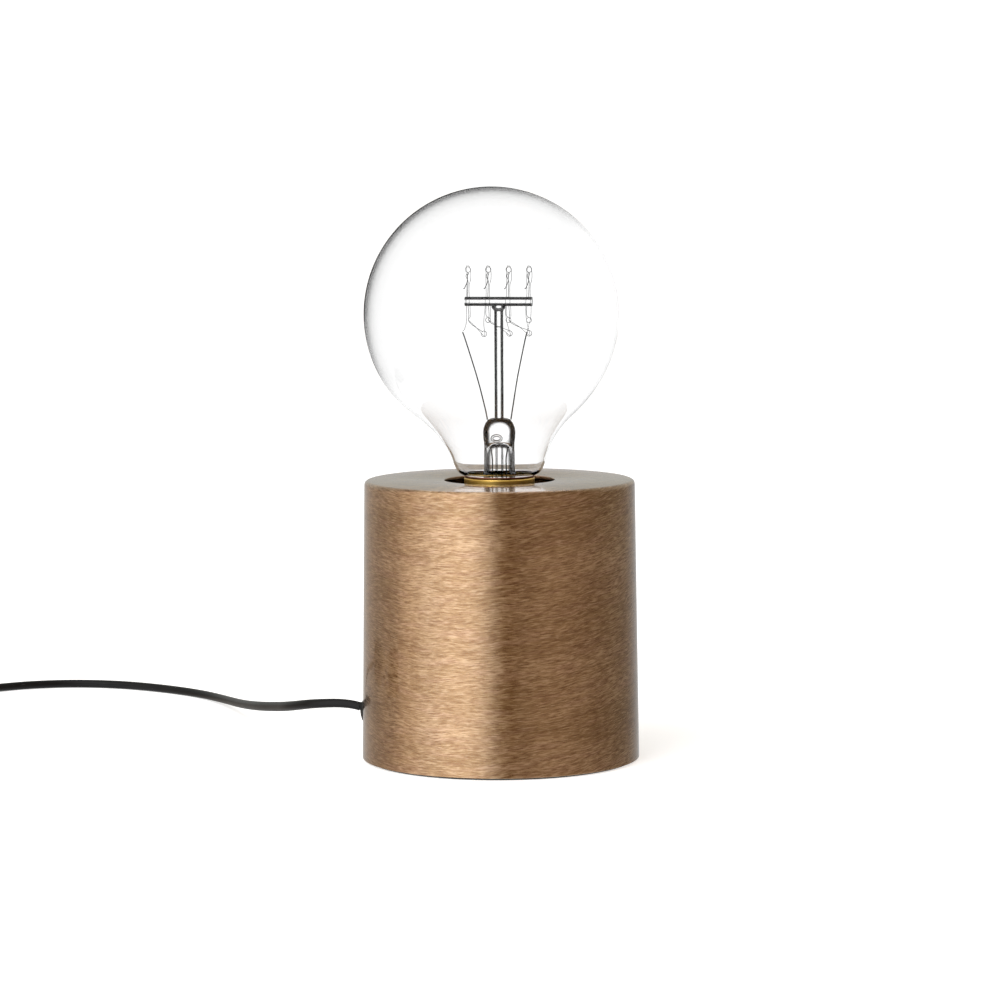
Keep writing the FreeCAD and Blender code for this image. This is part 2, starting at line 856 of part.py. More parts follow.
def holder_wires():
    """The two conductors, from the end of the cord's sheath in the nipple to the terminals."""
    inner = size("terminal_reach").value - size("terminal_length").value / 2 - 0.02
    start = sheath_end.value
    rise = terminal_foot.value + 1.9
    wires = []
    for side in (1, -1):
        points = [(1.15 * side, 0, start), (1.15 * side, 0, rise), (inner * side, 0, rise)]
        wires.append(shaped(tube(points, size("wire_diameter").value)))
    keep(group(*wires), "holder_wires")


sheath_end = bracket_top + 2


# -------------------------------------------------------------------------------- the bulb
cap_top = top + size("cap_rise")
neck_bore = size("cap_collar_radius") - size("cap_wall") - 0.1
collar_foot = cap_top - size("collar_height")
cap_bead_start = cap_tip + size("cap_bead_rise")


def bulb_cap():
    """Pressed brass cap: a wide plain collar on a thin shell with a rolled thread."""
    wall = size("cap_wall")
    core = size("cap_core_radius")
    collar = size("cap_collar_radius")
    low = cap_tip + size("cap_end_rise")
    inner = neck_bore
    body = turned([
        (size("cap_end_radius") + 0.5, low),
        (core, low + wall * 2.8),
        (core, collar_foot - 0.8),
        (collar, collar_foot),
        (collar, cap_top - 0.4),
        (collar - 0.3, cap_top),
        (inner, cap_top),
        (inner, collar_foot + 0.2),
        (core - wall, collar_foot - 0.6),
        (core - wall, low + wall * 3.5),
        (size("cap_end_radius") + 0.1, low + wall * 0.8),
    ])
    wall_middle = core - wall / 2
    bead = helix_bead(wall_middle.value, core.value - 0.1, cap_bead_start.value, 3.2)
    keep(threaded(body, bead), "bulb_cap")


def cap_end():
    """Black glass insulator in the cap's end, and the soldered centre contact under it."""
    low = cap_tip + size("tip_rise")
    end = cap_tip + size("cap_end_rise")
    seat = cap_tip + size("cap_seat_rise")
    tip = size("tip_radius")
    body = turned([
        (0, low),
        (tip + 0.2, low),
        (size("cap_end_radius"), end),
        (size("cap_end_radius"), end + 0.6),
        (size("cap_seat_radius"), seat - 0.75),
        (size("cap_seat_radius"), seat),
        (0, seat),
    ])
    keep(body, "cap_insulator")
    body = turned([
        (0, cap_tip),
        (tip - 1.2, cap_tip, tip - 1.4),
        (tip, low),
        (0, low),
    ])
    keep(body, "cap_contact")


def bulb_glass():
    """Blown clear globe, drawn down into a neck that is cemented in the cap's collar."""
    globe = size("globe_radius")
    centre = top + size("globe_centre")
    neck = neck_bore - size("neck_clearance")
    edge = size("neck_edge_radius")
    curve = size("waist_curve")

    def layer(depth):
        """The outline's corners, moved inwards by this depth."""
        depth = sized(depth)
        join = math.radians(41.7)
        return [
            (neck - depth, cap_top - size("neck_foot_drop")),
            (neck - depth, cap_top + 0.05 + depth * 1.11, edge - depth),
            (size("neck_radius") - depth, top + size("neck_height") + depth * 0.3),
            (size("waist_radius") - depth * 0.94, top + size("waist_height") + depth * 0.34, -(curve + depth)),
            (size("shoulder_radius") - depth * 0.74, top + size("shoulder_height") + depth * 0.67),
            ((globe - depth) * math.sin(join), centre - (globe - depth) * math.cos(join), globe - depth),
            (0, centre + globe - depth),
        ]

    outside = layer(0)
    inside = layer(size("glass_wall"))
    inside = [reversed_corner(inside, index) for index in range(len(inside) - 1, -1, -1)]
    keep(turned(outside + inside), "bulb_glass")


def reversed_corner(corners, index):
    """A corner of an outline that is followed backwards: its arc is the one that led to it."""
    x, y = corners[index][:2]
    if index and len(corners[index - 1]) == 3:
        return x, y, -sized(corners[index - 1][2])
    return x, y


def bulb_stem():
    """Glass flare and tube, closed by a flat pinch that holds the rod and the lead wires."""
    radius = size("stem_radius")
    wall = size("stem_wall")
    waist = top + size("stem_waist")
    lip = size("flare_radius")
    low = cap_top - size("flare_drop")
    flare = turned([
        (lip - wall * 0.2, low),
        (lip, low + wall * 0.6),
        (radius + wall * 1.4, cap_top - wall * 1.2),
        (radius, cap_top + wall * 2.6),
        (radius - wall * 0.1, waist),
        (radius - wall * 1.1, waist),
        (radius - wall, cap_top + wall * 2.2),
        (radius + wall * 0.2, cap_top - wall * 1.6),
        (lip - wall * 0.8, low),
    ])
    sections = []
    shoulder = size("stem_shoulder")
    mid_height = (size("stem_waist") + shoulder * 1.35) / 2.35
    for height, across, deep in (
        (size("stem_waist"), radius - wall * 0.3, radius - wall * 0.4),
        (mid_height, size("pinch_half_width"), size("pinch_half_depth") + wall * 0.4),
        (shoulder - wall * 2.2, size("pinch_half_width") - wall * 0.1, size("pinch_half_depth")),
        (shoulder, size("pinch_half_width") - wall * 1.2, size("pinch_half_depth") - wall * 0.8),
    ):
        ellipse = doc.addObject("Part::Ellipse", "Ellipse")
        bind(ellipse, "MajorRadius", across)
        bind(ellipse, "MinorRadius", deep)
        place(ellipse, 0, 0, top + height)
        sections.append(ellipse)
    pinch = doc.addObject("Part::Loft", "Loft")
    pinch.Sections = sections
    pinch.Solid = True
    keep(fuse(flare, pinch), "bulb_stem")


def exhaust_tube():
    """Thin glass tube inside the stem, sealed off below in the cap."""
    low = cap_tip + size("exhaust_foot")
    height = top + size("stem_waist") - 0.1 - low
    seal = size("exhaust_radius")
    barrel = cylinder(size("exhaust_radius"), height, 0, 0, low)
    keep(cut(barrel, cylinder(size("exhaust_bore"), height - seal, 0, 0, low + seal)), "exhaust_tube")


def rod_and_bar():
    """Glass rod up from the pinch, and the glass bar welded across its top."""
    foot = top + size("stem_shoulder")
    centre = top + size("bar_height")
    bar_radius = size("bar_radius")
    half = size("bar_length") / 2
    turn = size("bar_turn")
    x, y = around(-half, turn)
    bar = cylinder(bar_radius, size("bar_length"), x, y, centre)
    aim(bar, turn)
    keep(bar, "glass_crossbar")
    rod = cylinder(size("rod_radius"), centre - foot, 0, 0, foot)
    weld_foot = centre - size("weld_height")
    weld = turned([
        (0, weld_foot),
        (size("rod_radius"), weld_foot),
        (size("weld_radius"), centre - size("weld_height") * 0.4),
        (size("weld_radius") * 0.85, centre),
        (0, centre),
    ])
    saddle = cylinder(bar_radius, size("bar_length"), x, y, centre)
    aim(saddle, turn)
    keep(cut(fuse(rod, weld), saddle), "glass_rod")


def bar_point(offset, height):
    """A point above or below the bar, at this distance along it from the rod."""
    x, y = around(offset, size("bar_turn"))
    return x.value, y.value, sized(height).value


def in_pitches(*places):
    """Places across and behind the rod, given in eyelet pitches."""
    pitch = SIZES["eyelet_pitch"]
    return [(pitch * across, pitch * behind) for across, behind in places]


FOOT_HOOKS = in_pitches((-0.717, -0.52), (0.52, 0.65), (1.473, 0.65))
LEAD_ENDS = in_pitches((-1.747, -0.39), (1.382, 0.39))
hook_height = top + size("hook_height")
lead_end_height = top + size("lead_end_height")


def eyelet_offsets():
    pitch = size("eyelet_pitch")
    return [pitch * step for step in (-1.5, -0.5, 0.5, 1.5)]


def lead_wires():
    """Nickel wires from the pinch up to the filament's ends, and on down through the stem to the cap."""
    shoulder = top.value + size("stem_shoulder").value
    waist = top.value + size("stem_waist").value
    diameter = size("lead_diameter").value
    spread = size("lead_spread").value
    bend = size("lead_bend").value
    seat = cap_tip.value + size("cap_seat_rise").value + 0.1
    wires = []
    for side, (x, y) in zip((-1, 1), LEAD_ENDS):
        end = (x, y, lead_end_height.value)
        low = (spread * side, 0.0, shoulder + 0.1)
        knee = (low[0] + (x - low[0]) * 0.25 + diameter * side, y * 0.2, shoulder + bend)
        wires.append(shaped(tube([low, knee, end], diameter)))
        inner = [(spread * 0.77 * side, 0, waist - 0.1), (spread * 0.61 * side, 0, waist - bend),
                 (spread * 0.82 * side, 0, seat)]
        wires.append(shaped(tube(inner, diameter)))
    keep(group(*wires), "lead_wires")


def support_wires():
    """Wires melted into the bar: each has an eyelet at its top, and a hook or a tail below."""
    diameter = size("support_diameter").value
    bar_top = top + size("bar_height") + size("bar_radius") + 0.05
    bar_foot = top + size("bar_height") - size("bar_radius") - 0.05
    eyelet = size("eyelet_radius")
    wires = []
    for offset in eyelet_offsets():
        x, y, crown = bar_point(offset, top + size("eyelet_height"))
        loop = doc.addObject("Part::Torus", "Eyelet")
        bind(loop, "Radius1", eyelet)
        bind(loop, "Radius2", diameter / 2)
        place(loop, x, y, crown, (0, 1, 0), 90)
        height = top + size("eyelet_height") - eyelet - bar_top
        stem = cylinder(size("eyelet_stem_diameter") / 2, height, x, y, bar_top)
        wires.append(fuse(loop, stem))
    for offset, (hook_x, hook_y) in zip(eyelet_offsets(), FOOT_HOOKS):
        x, y, start = bar_point(offset, bar_foot)
        bend = (x + diameter * 0.75, y, start - size("tail_bend").value)
        end = (hook_x, hook_y, hook_height.value)
        wires.append(shaped(tube([(x, y, start), bend, end], diameter)))
    keep(group(*wires), "support_wires")


def filament():
    """One thin wire that zigzags between the lead wires' ends, the eyelets and the foot hooks."""
    crown = top + size("eyelet_height") + size("support_diameter") / 2 + size("filament_diameter") / 2 + 0.05
    crown = crown + size("eyelet_radius")
    half = size("eyelet_radius").value / 2
    low = hook_height.value - half
    points = [(LEAD_ENDS[0][0], LEAD_ENDS[0][1], lead_end_height.value + 0.1)]
    for index, offset in enumerate(eyelet_offsets()):
        x, y, z = bar_point(offset, crown)
        points += [(x - half, y, z), (x + half, y, z)]
        if index < len(FOOT_HOOKS):
            foot_x, foot_y = FOOT_HOOKS[index]
            foot_y += math.copysign(half, foot_y)
            points += [(foot_x - half * 0.7, foot_y, low), (foot_x + half * 0.7, foot_y, low)]
    points.append((LEAD_ENDS[1][0], LEAD_ENDS[1][1], lead_end_height.value + 0.1))
    keep(shaped(tube(points, size("filament_diameter").value, "filament")), "filament")


# -------------------------------------------------------------- the cord inside the can
flange_outside = size("shell_foot_radius") - 0.15 + size("flange_height")


def cord_grommet():
    """Domed rubber flange outside the can, a neck through its wall, and a collar and tail inside. The
    cord passes above its middle."""
    wall_outside = flange_outside - size("flange_height")
    wall_inside = wall_outside - size("shell_wall") - 0.5
    neck = size("grommet_neck_radius")
    flange = size("flange_radius")
    rise = size("flange_height") - 0.3
    tail = wall_inside - size("grommet_tail")
    body = turned([
        (0, tail),
        (neck, tail),
        (neck + 0.4, wall_inside - 1.4),
        (flange - 0.2, wall_inside - 1.4),
        (flange - 0.2, wall_inside),
        (neck, wall_inside),
        (neck, wall_outside),
        (flange, wall_outside),
        (flange, flange_outside - rise, (flange * flange + rise * rise) / (rise * 2)),
        (0, flange_outside),
    ])
    place(body, 0, 0, size("grommet_height"))
    aim(body, exit_angle)
    x, y = around(tail - 1, exit_angle)
    reach = flange_outside - tail + 2
    bore = cylinder(size("cord_diameter") / 2 + size("cord_clearance") / 2, reach, x, y, cord_height)
    aim(bore, exit_angle)
    keep(cut(body, bore), "cord_grommet")


def radial(distance, height):
    x, y = around(distance, exit_angle)
    return x.value, y.value, sized(height).value


def cord_inside():
    """The cord from the grommet, under its clamp and up into the nipple."""
    diameter = size("cord_diameter")
    clamped = clamp_cord_height
    points = [
        radial(flange_outside, cord_height),
        radial(36, cord_height),
        radial(29, clamped),
        radial(8, clamped),
        radial(0.8, clamped + 6.8),
        radial(0, clamped + 18),
        radial(0, sheath_end),
    ]
    keep(shaped(tube(points, diameter.value, "cord_inside")), "cord_inside")


clamp_cord_height = plate_top + size("cord_diameter") / 2 + size("cord_clearance")


def cord_clamp():
    """Moulded saddle over the cord, held on the plate by two screws."""
    length = size("clamp_length")
    half = size("clamp_half_width")
    bore = size("cord_diameter") / 2 + size("cord_clearance")
    body = padded([
        (size("clamp_distance") - length / 2, -half),
        (size("clamp_distance") + length / 2, -half),
        (size("clamp_distance") + length / 2, half),
        (size("clamp_distance") - length / 2, half),
    ], size("clamp_height"), "XY_Plane", plate_top)
    pocket(body, "YZ_Plane", size("clamp_distance") + length / 2, length, lambda drawing: outline(drawing, [
        (-bore, plate_top - 1),
        (bore, plate_top - 1),
        (bore, clamp_cord_height, bore + 0.001),
        (-bore, clamp_cord_height),
    ]))
    spread = half - size("small_head_radius")
    pocket(body, "XY_Plane", plate_top + size("clamp_height"), size("clamp_height"), lambda drawing: [
        ring(drawing, size("small_screw_radius") + size("screw_clearance"), size("clamp_distance"), y)
        for y in (spread, -spread)])
    place(body, angle=exit_angle.value)
    keep(body, "cord_clamp")
    screws = []
    for x, y in zip(*clamp_centres()):
        stand = plate_top + size("clamp_height")
        head = cylinder(size("small_head_radius"), size("small_head_height"), x, y, stand)
        shank = cylinder(size("small_screw_radius"), size("clamp_height") + 1.3, x, y, plate_top - 1.3)
        screws.append(fuse(head, shank))
    keep(group(*screws), "clamp_screws")


# ------------------------------------------------------------- the cord outside the can
def free_cord():
    """The cord's free stretches: down to the table and back to the left, through the switch, to the
    coil, and from the coil's top to the plug."""
    diameter = size("cord_diameter").value
    start = radial(flange_outside + 0.15, cord_height)
    switch_x = size("switch_x").value
    far_end = size("switch_y").value + size("switch_half_length").value
    near_end = size("switch_y").value - size("switch_half_length").value
    level = size("switch_parting").value
    table = diameter / 2
    to_switch = [
        start,
        (-59.0, 8.4, 19.3),
        (-70.6, 12.8, 20.0),
        (-79.0, 23.5, 16.8),
        (-87.5, 43.0, 13.2),
        (-95.0, 70.0, 9.4),
        (-103.8, 101.0, 5.6),
        (-113.0, 134.5, 2.4),
        (-124.5, 155.5, table),
        (-141.0, 171.0, table),
        (-160.0, 183.0, table),
        (-180.0, 187.5, table),
        (-199.0, 184.0, table),
        (-215.0, 173.5, table),
        (-225.0, 159.5, table + 1.6),
        (switch_x, far_end + 10.5, level),
        (switch_x, far_end - 4, level),
    ]
    keep(shaped(tube(to_switch, diameter, "cord")), "cord")
    entry_x = size("coil_x").value + coil_outer.value
    entry_y = size("coil_y").value + diameter
    to_coil = [
        (switch_x, near_end + 4, level),
        (switch_x, near_end - 12, level),
        (-223.5, 49.0, 3.8),
        (-212.5, 35.0, coil_floor.value),
        (entry_x, entry_y + 10.5, coil_floor.value),
        (entry_x, entry_y, coil_floor.value),
    ]
    keep(shaped(tube(to_coil, diameter, "cord_to_coil")), "cord_to_coil")
    leave_x = size("coil_x").value - coil_outer.value
    leave_z = coil_floor.value + 3 * size("coil_layer").value
    tail = size("plug_tail_y").value
    to_plug = [
        (leave_x, entry_y, leave_z),
        (leave_x, entry_y + 13, leave_z),
        (-258.6, 39.5, 12.6),
        (size("plug_x").value, 54.0, plug_middle.value),
        (size("plug_x").value, tail, plug_middle.value),
    ]
    keep(shaped(tube(to_plug, diameter, "cord_to_plug")), "cord_to_plug")


coil_outer = size("coil_inner") + size("coil_pitch") * 2
coil_floor = size("tie_sheet") + size("tie_clearance") + size("cord_diameter") / 2
plug_middle = size("plug_thickness") / 2


def half_loop(start, stop, heading):
    """Two arcs from start to stop, level at both ends, which reverse the heading."""
    reach = (stop - start).Length / 2
    join = (start + stop) * 0.5 + heading * reach

    def arc(one, other, direction):
        chord = other - one
        square = direction.cross(chord).cross(direction)
        centre = one + square.normalize() * (chord.Length ** 2 / (2 * chord.dot(square)))
        middle = (one + other) * 0.5 - centre
        radius = (one - centre).Length
        return Part.Arc(one, centre + middle.normalize() * radius, other).toShape()

    return [arc(start, join, heading), arc(stop, join, heading)]


def cord_coil():
    """The length that is put away: nine and a half loops in four layers, which spiral in and out by turns
    and climb a layer in the half turn where the spiral reverses."""
    diameter = size("cord_diameter").value
    inner = size("coil_inner").value
    step = size("coil_pitch").value / 2
    layer = size("coil_layer").value
    inward = [inner + step * index for index in (4, 3, 2, 1, 0)]
    outward = inward[::-1]
    reaches = inward + outward + inward + outward
    middle = vector(size("coil_x").value, size("coil_y").value, coil_floor.value)
    stations = []
    for index, reach in enumerate(reaches):
        side = 1 if index % 2 == 0 else -1
        stations.append(middle + vector(side * reach, 0, layer * (index // len(inward))))
    lead_in = stations[0] + vector(0, diameter, 0)
    edges = [Part.LineSegment(lead_in, stations[0]).toShape()]
    for index, (start, stop) in enumerate(zip(stations, stations[1:])):
        heading = vector(0, -1 if index % 2 == 0 else 1, 0)
        edges += half_loop(start, stop, heading)
    edges.append(Part.LineSegment(stations[-1], stations[-1] + vector(0, diameter, 0)).toShape())
    path = Part.Wire(Part.__sortEdges__(edges))
    solid = pipe(path, lead_in, vector(0, -1, 0), diameter)
    print(f"cord_coil: length {path.Length:.1f}, volume over section times length "
          f"{solid.Volume / (math.pi * diameter ** 2 / 4 * path.Length):.4f}, "
          f"least gap to itself {least_gap(path, diameter):.2f}")
    keep(shaped(solid), "cord_coil")


def least_gap(path, diameter):
    """The least clear distance between two turns, on points two millimetres apart along the path."""
    points = path.discretize(Distance=2.0)
    skip = int(4 * diameter / 2.0)
    least = min(
        one.distanceToPoint(other)
        for index, one in enumerate(points)
        for other in points[index + skip:]
    )
    return least - diameter


def cord_tie():
    """Flat tie round the coil's turns on its left side."""
    clear = size("tie_clearance") + size("cord_diameter") / 2
    near = size("coil_x") - size("coil_inner") + clear
    far = size("coil_x") - coil_outer - clear
    low = coil_floor - clear
    high = coil_floor + size("coil_layer") * 3 + clear
    strap = size("tie_sheet")
    body = new_body()
    sketch = sketch_on(body, "XZ_Plane", -size("coil_y"))
    outline(sketch, [(far - strap, low - strap), (near + strap, low - strap),
                     (near + strap, high + strap), (far - strap, high + strap)])
    outline(sketch, [(far, low), (near, low), (near, high), (far, high)])
    pad = body.newObject("PartDesign::Pad", "Pad")
    pad.Profile = sketch
    bind(pad, "Length", size("tie_width"))
    pad.SideType = "Symmetric"
    keep(body, "cord_tie")


# ------------------------------------------------------------------------- the switch
def at_switch(thing, lift=0):
    """Move a piece that was drawn about the Z axis, along Y, to the switch."""
    return place(thing, size("switch_x"), size("switch_y"), lift)


def switch_outline(inset):
    """The housing's plan: straight sides that taper to a nose at each end."""
    length = size("switch_half_length") - inset
    width = size("switch_half_width") - inset
    nose = size("switch_nose") - inset * 0.7
    shoulder = size("switch_half_length") - 11 - inset * 0.4
    return [(-nose, -length), (nose, -length), (width, -shoulder), (width, shoulder),
            (nose, length), (-nose, length), (-width, shoulder), (-width, -shoulder)]


screw_x = size("switch_half_width") - 4.2
screw_y = size("switch_half_length") - 12.5
SWITCH_SCREWS = [(screw_x, screw_y), (-screw_x, -screw_y)]


def cord_ways():
    """The rod of air that the cord needs through both ends of the housing."""
    radius = size("cord_diameter") / 2 + size("cord_clearance")
    way = cylinder(radius, size("switch_half_length") * 2 + 2, size("switch_x"),
                   size("switch_y") - size("switch_half_length") - 1, size("switch_parting"))
    way.Placement = FreeCAD.Placement(way.Placement.Base, FreeCAD.Rotation(vector(1, 0, 0), -90))
    return way


def switch_lower():
    """The housing's tray, with recesses for the two screws that come up through it."""
    parting = size("switch_parting")
    wall = size("switch_wall")
    body = padded(switch_outline(sized(0)), parting)
    pocket(body, "XY_Plane", parting, parting - wall, lambda drawing: outline(drawing, switch_outline(wall)))
    at_switch(body)
    posts = []
    bores = []
    for x, y in SWITCH_SCREWS:
        x = size("switch_x") + x
        y = size("switch_y") + y
        posts.append(cylinder(3.6, parting, x, y, 0))
        bores.append(cylinder(size("small_screw_radius") + size("screw_clearance"), parting, x, y, 0))
        bores.append(cylinder(size("small_head_radius") + size("screw_clearance"), 2.0, x, y, 0))
    keep(cut(fuse(body, *posts), *bores, cord_ways()), "switch_lower")


def switch_upper():
    """The housing's lid, with the rocker's window, the bearings for its pins, and the screws' posts."""
    parting = size("switch_parting")
    height = size("switch_height") - parting
    wall = size("switch_wall")
    gap = size("rocker_clearance")
    body = padded(switch_outline(sized(0)), height, "XY_Plane", parting)
    pocket(body, "XY_Plane", size("switch_height") - wall, height - wall,
           lambda drawing: outline(drawing, switch_outline(wall)))
    at_switch(body)
    x, y = size("switch_x"), size("switch_y")
    half = size("rocker_half_width") + gap
    bearing_foot = size("rocker_pivot") - size("rocker_pin_radius") - 1.2
    bearing_height = size("switch_height") - wall - bearing_foot
    cheek = size("rocker_pin_length") + 0.8
    posts = []
    for side in (1, -1):
        posts.append(box(cheek, 6.0, bearing_height, x + (half + cheek / 2) * side, y, bearing_foot))
    bores = []
    for screw_x, screw_y in SWITCH_SCREWS:
        posts.append(cylinder(2.9, height, x + screw_x, y + screw_y, parting))
        bores.append(cylinder(size("small_screw_radius") + size("thread_clearance"), 6.5,
                              x + screw_x, y + screw_y, parting))
    window = box(half * 2, (size("rocker_radius") + gap) * 2, size("switch_height"), x, y, parting)
    pin_way = rocker_pin(size("rocker_pin_radius") + size("fit_clearance"), half + size("rocker_pin_length") + 0.2)
    keep(cut(fuse(body, *posts), window, pin_way, *bores, cord_ways()), "switch_upper")


def rocker_pin(radius, half):
    """A rod through the rocker's pivot, across the switch."""
    pin = cylinder(radius, half * 2, size("switch_x") - half, size("switch_y"), size("rocker_pivot"))
    aim(pin, 0)
    return pin


def switch_rocker():
    """The rocker: round ends about its pins, and a shallow V on top. It rests pressed down at its near end."""
    crown = size("rocker_crown")
    radius = size("rocker_radius")
    stem = size("rocker_stem")
    end = 8.2
    body = padded([
        (-radius, -1.0),
        (-1.6, -1.0),
        (-1.6, -stem),
        (1.6, -stem),
        (1.6, -1.0),
        (radius, -1.0),
        (radius, 1.0),
        (end, crown - 0.2),
        (0, crown - 1.0),
        (-end, crown - 0.2),
        (-radius, 1.0),
    ], size("rocker_half_width") * 2, "YZ_Plane", symmetric=True)
    disc = cylinder(radius, size("rocker_half_width") * 2, -size("rocker_half_width"), 0, 0)
    aim(disc, 0)
    solid = common(body, disc)
    axle = cylinder(size("rocker_pin_radius"), (size("rocker_half_width") + size("rocker_pin_length")) * 2,
                    -(size("rocker_half_width") + size("rocker_pin_length")), 0, 0)
    aim(axle, 0)
    rocker = fuse(solid, axle)
    place(rocker, size("switch_x"), size("switch_y"), size("rocker_pivot"), (1, 0, 0), SIZES["rocker_tilt"])
    keep(rocker, "switch_rocker")
    half = size("bridge_half_length")
    low = -(stem + size("bridge_sheet"))
    bridge = padded([(-half, low), (half, low), (half, -stem), (-half, -stem)], 5.0, "YZ_Plane", symmetric=True)
    place(bridge, size("switch_x"), size("switch_y"), size("rocker_pivot"), (1, 0, 0), SIZES["rocker_tilt"])
    keep(bridge, "switch_bridge")


def switch_inside():
    """The two fixed contacts on their posts, the conductors, and the screws that close the housing."""
    x, y = size("switch_x"), size("switch_y")
    parting = size("switch_parting")
    wall = size("switch_wall")
    contacts_made = [
        box(5.0, 4.0, size("contact_height") - wall, x + 1.0, y + 6.5, wall),
        box(5.0, 4.0, size("contact_height") - wall, x + 1.0, y - 6.5, wall),
    ]
    keep(group(*contacts_made), "switch_contacts")
    wires = []
    level = parting.value
    for side in (1, -1):
        inner = side * (size("switch_half_length").value - 4.3)
        points = [(x.value + 0.95, y.value + inner, level), (x.value + 0.95, y.value + inner - side * 9.0, level - 0.6),
                  (x.value + 1.0, y.value + side * 8.75, level - 1.8)]
        wires.append(shaped(tube(points, 1.6)))
    reach = size("switch_half_length").value - 4.3
    through = [(x.value - 0.95, y.value - reach, level), (x.value - 1.4, y.value - reach + 7, level),
               (x.value - 4.6, y.value - 8, level - 2), (x.value - 4.6, y.value + 8, level - 2.01),
               (x.value - 1.4, y.value + reach - 7, level), (x.value - 0.95, y.value + reach, level)]
    wires.append(shaped(tube(through, 1.6)))
    keep(group(*wires), "switch_wires")
    screws = []
    for screw_x, screw_y in SWITCH_SCREWS:
        head = cylinder(size("small_head_radius"), 1.4, x + screw_x, y + screw_y, 0.5)
        shank = cylinder(size("small_screw_radius"), 11.5, x + screw_x, y + screw_y, 0.5)
        screws.append(fuse(head, shank))
    keep(group(*screws), "switch_screws")


# --------------------------------------------------------------------------- the plug
def plug():
    """Flat two-pin plug, moulded on the cord: six-sided at its face, narrower at its back."""
    x = size("plug_x")
    half = size("plug_half_width")
    back = size("plug_tail_y") + size("plug_tail_length")
    face = back + size("plug_body_length")
    thick = size("plug_thickness")
    plan = padded([
        (-size("plug_back_half_width"), back),
        (size("plug_back_half_width"), back),
        (size("plug_back_half_width") + 1.5, back + size("plug_body_length") * 0.45),
        (half, face - 8),
        (half, face),
        (-half, face),
        (-half, face - 8),
        (-size("plug_back_half_width") - 1.5, back + size("plug_body_length") * 0.45),
    ], thick)
    flat = size("plug_flat_half_width")
    front = padded([
        (-half, plug_middle),
        (-flat, 0),
        (flat, 0),
        (half, plug_middle),
        (flat, thick),
        (-flat, thick),
    ], face, "XZ_Plane", -face)
    solid = common(plan, front)
    place(solid, x)
    relief = doc.addObject("Part::Cone", "Cone")
    bind(relief, "Radius1", size("cord_diameter") / 2 + 1.0)
    bind(relief, "Radius2", size("cord_diameter") / 2 + 3.2)
    bind(relief, "Height", size("plug_tail_length") + 1)
    place(relief, x, size("plug_tail_y"), plug_middle, (1, 0, 0), -90)
    sides = [x + size("pin_pitch") / 2 * side for side in (1, -1)]
    foot = face - size("pin_root")
    shoulder = face + size("pin_shoulder")
    tip = face + size("pin_length") - size("pin_radius")

    def along(radius, across, start, end):
        """A round bar that runs away from the plug."""
        return cylinder(radius, end - start, across, start, plug_middle, (1, 0, 0), -90)

    ways = [along(size("pin_root_radius"), across, foot, face) for across in sides]
    keep(cut(fuse(solid, relief), *ways), "plug_body")
    pins = []
    for across in sides:
        end = doc.addObject("Part::Sphere", "Sphere")
        bind(end, "Radius", size("pin_radius"))
        place(end, across, tip, plug_middle)
        root = along(size("pin_root_radius"), across, foot, shoulder)
        pins.append(fuse(root, along(size("pin_radius"), across, shoulder, tip), end))
    keep(group(*pins), "plug_pins")


for make in (
    base_shell, bottom_plate, felt_pad, mounting_tabs, plate_screws,
    holder_bracket, bracket_fastenings, nipple_set,
    holder_cap, holder_insulator, holder_terminals, contacts, screw_shell, holder_skirt, holder_wires,
    bulb_cap, cap_end, bulb_glass, bulb_stem, exhaust_tube, rod_and_bar, lead_wires, support_wires, filament,
    cord_grommet, cord_inside, cord_clamp, free_cord, cord_coil, cord_tie,
    switch_lower, switch_upper, switch_rocker, switch_inside, plug,
):
    make()
doc.recompute()

# ---------------------------------------------------------------------- check and write
faulty = [thing.Name for thing in doc.Objects if "Invalid" in thing.State or "Error" in thing.State]
faulty += [node.Label for node in nodes if node.Shape.isNull() or not node.Shape.isValid()]
if faulty:
    raise RuntimeError(f"these could not be made: {', '.join(faulty)}")
for node in nodes:
    node.Shape.exportStep(f"parts/{node.Label}.step")
    print(f"{node.Label}: {len(node.Shape.Solids)} solid(s), {node.Shape.Volume:.1f} mm3")
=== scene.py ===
"""Looks of the bare bulb table lamp: a brass can with a clear globe bulb upright in its top."""

import math

import bpy
import numpy as np
from mathutils import Matrix, Vector


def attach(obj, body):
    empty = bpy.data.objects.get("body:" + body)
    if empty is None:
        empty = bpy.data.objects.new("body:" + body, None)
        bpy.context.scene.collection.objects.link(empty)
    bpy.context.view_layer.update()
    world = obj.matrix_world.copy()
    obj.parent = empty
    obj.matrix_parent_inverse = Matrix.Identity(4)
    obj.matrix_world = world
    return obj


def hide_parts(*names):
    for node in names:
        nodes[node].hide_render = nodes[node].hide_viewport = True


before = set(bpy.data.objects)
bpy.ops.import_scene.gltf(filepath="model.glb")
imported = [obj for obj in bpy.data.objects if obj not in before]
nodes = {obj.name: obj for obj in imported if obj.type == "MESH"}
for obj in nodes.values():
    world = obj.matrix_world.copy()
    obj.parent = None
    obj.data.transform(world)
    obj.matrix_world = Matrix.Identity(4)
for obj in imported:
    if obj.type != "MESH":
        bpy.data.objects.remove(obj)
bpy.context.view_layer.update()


# ---- The camera. It stands 1.44 m in front of the lamp and looks down on it by some 5.6 degrees. Its
# place, turn and lens come from a fit to the can's edges, the hole and the globe in the photo.

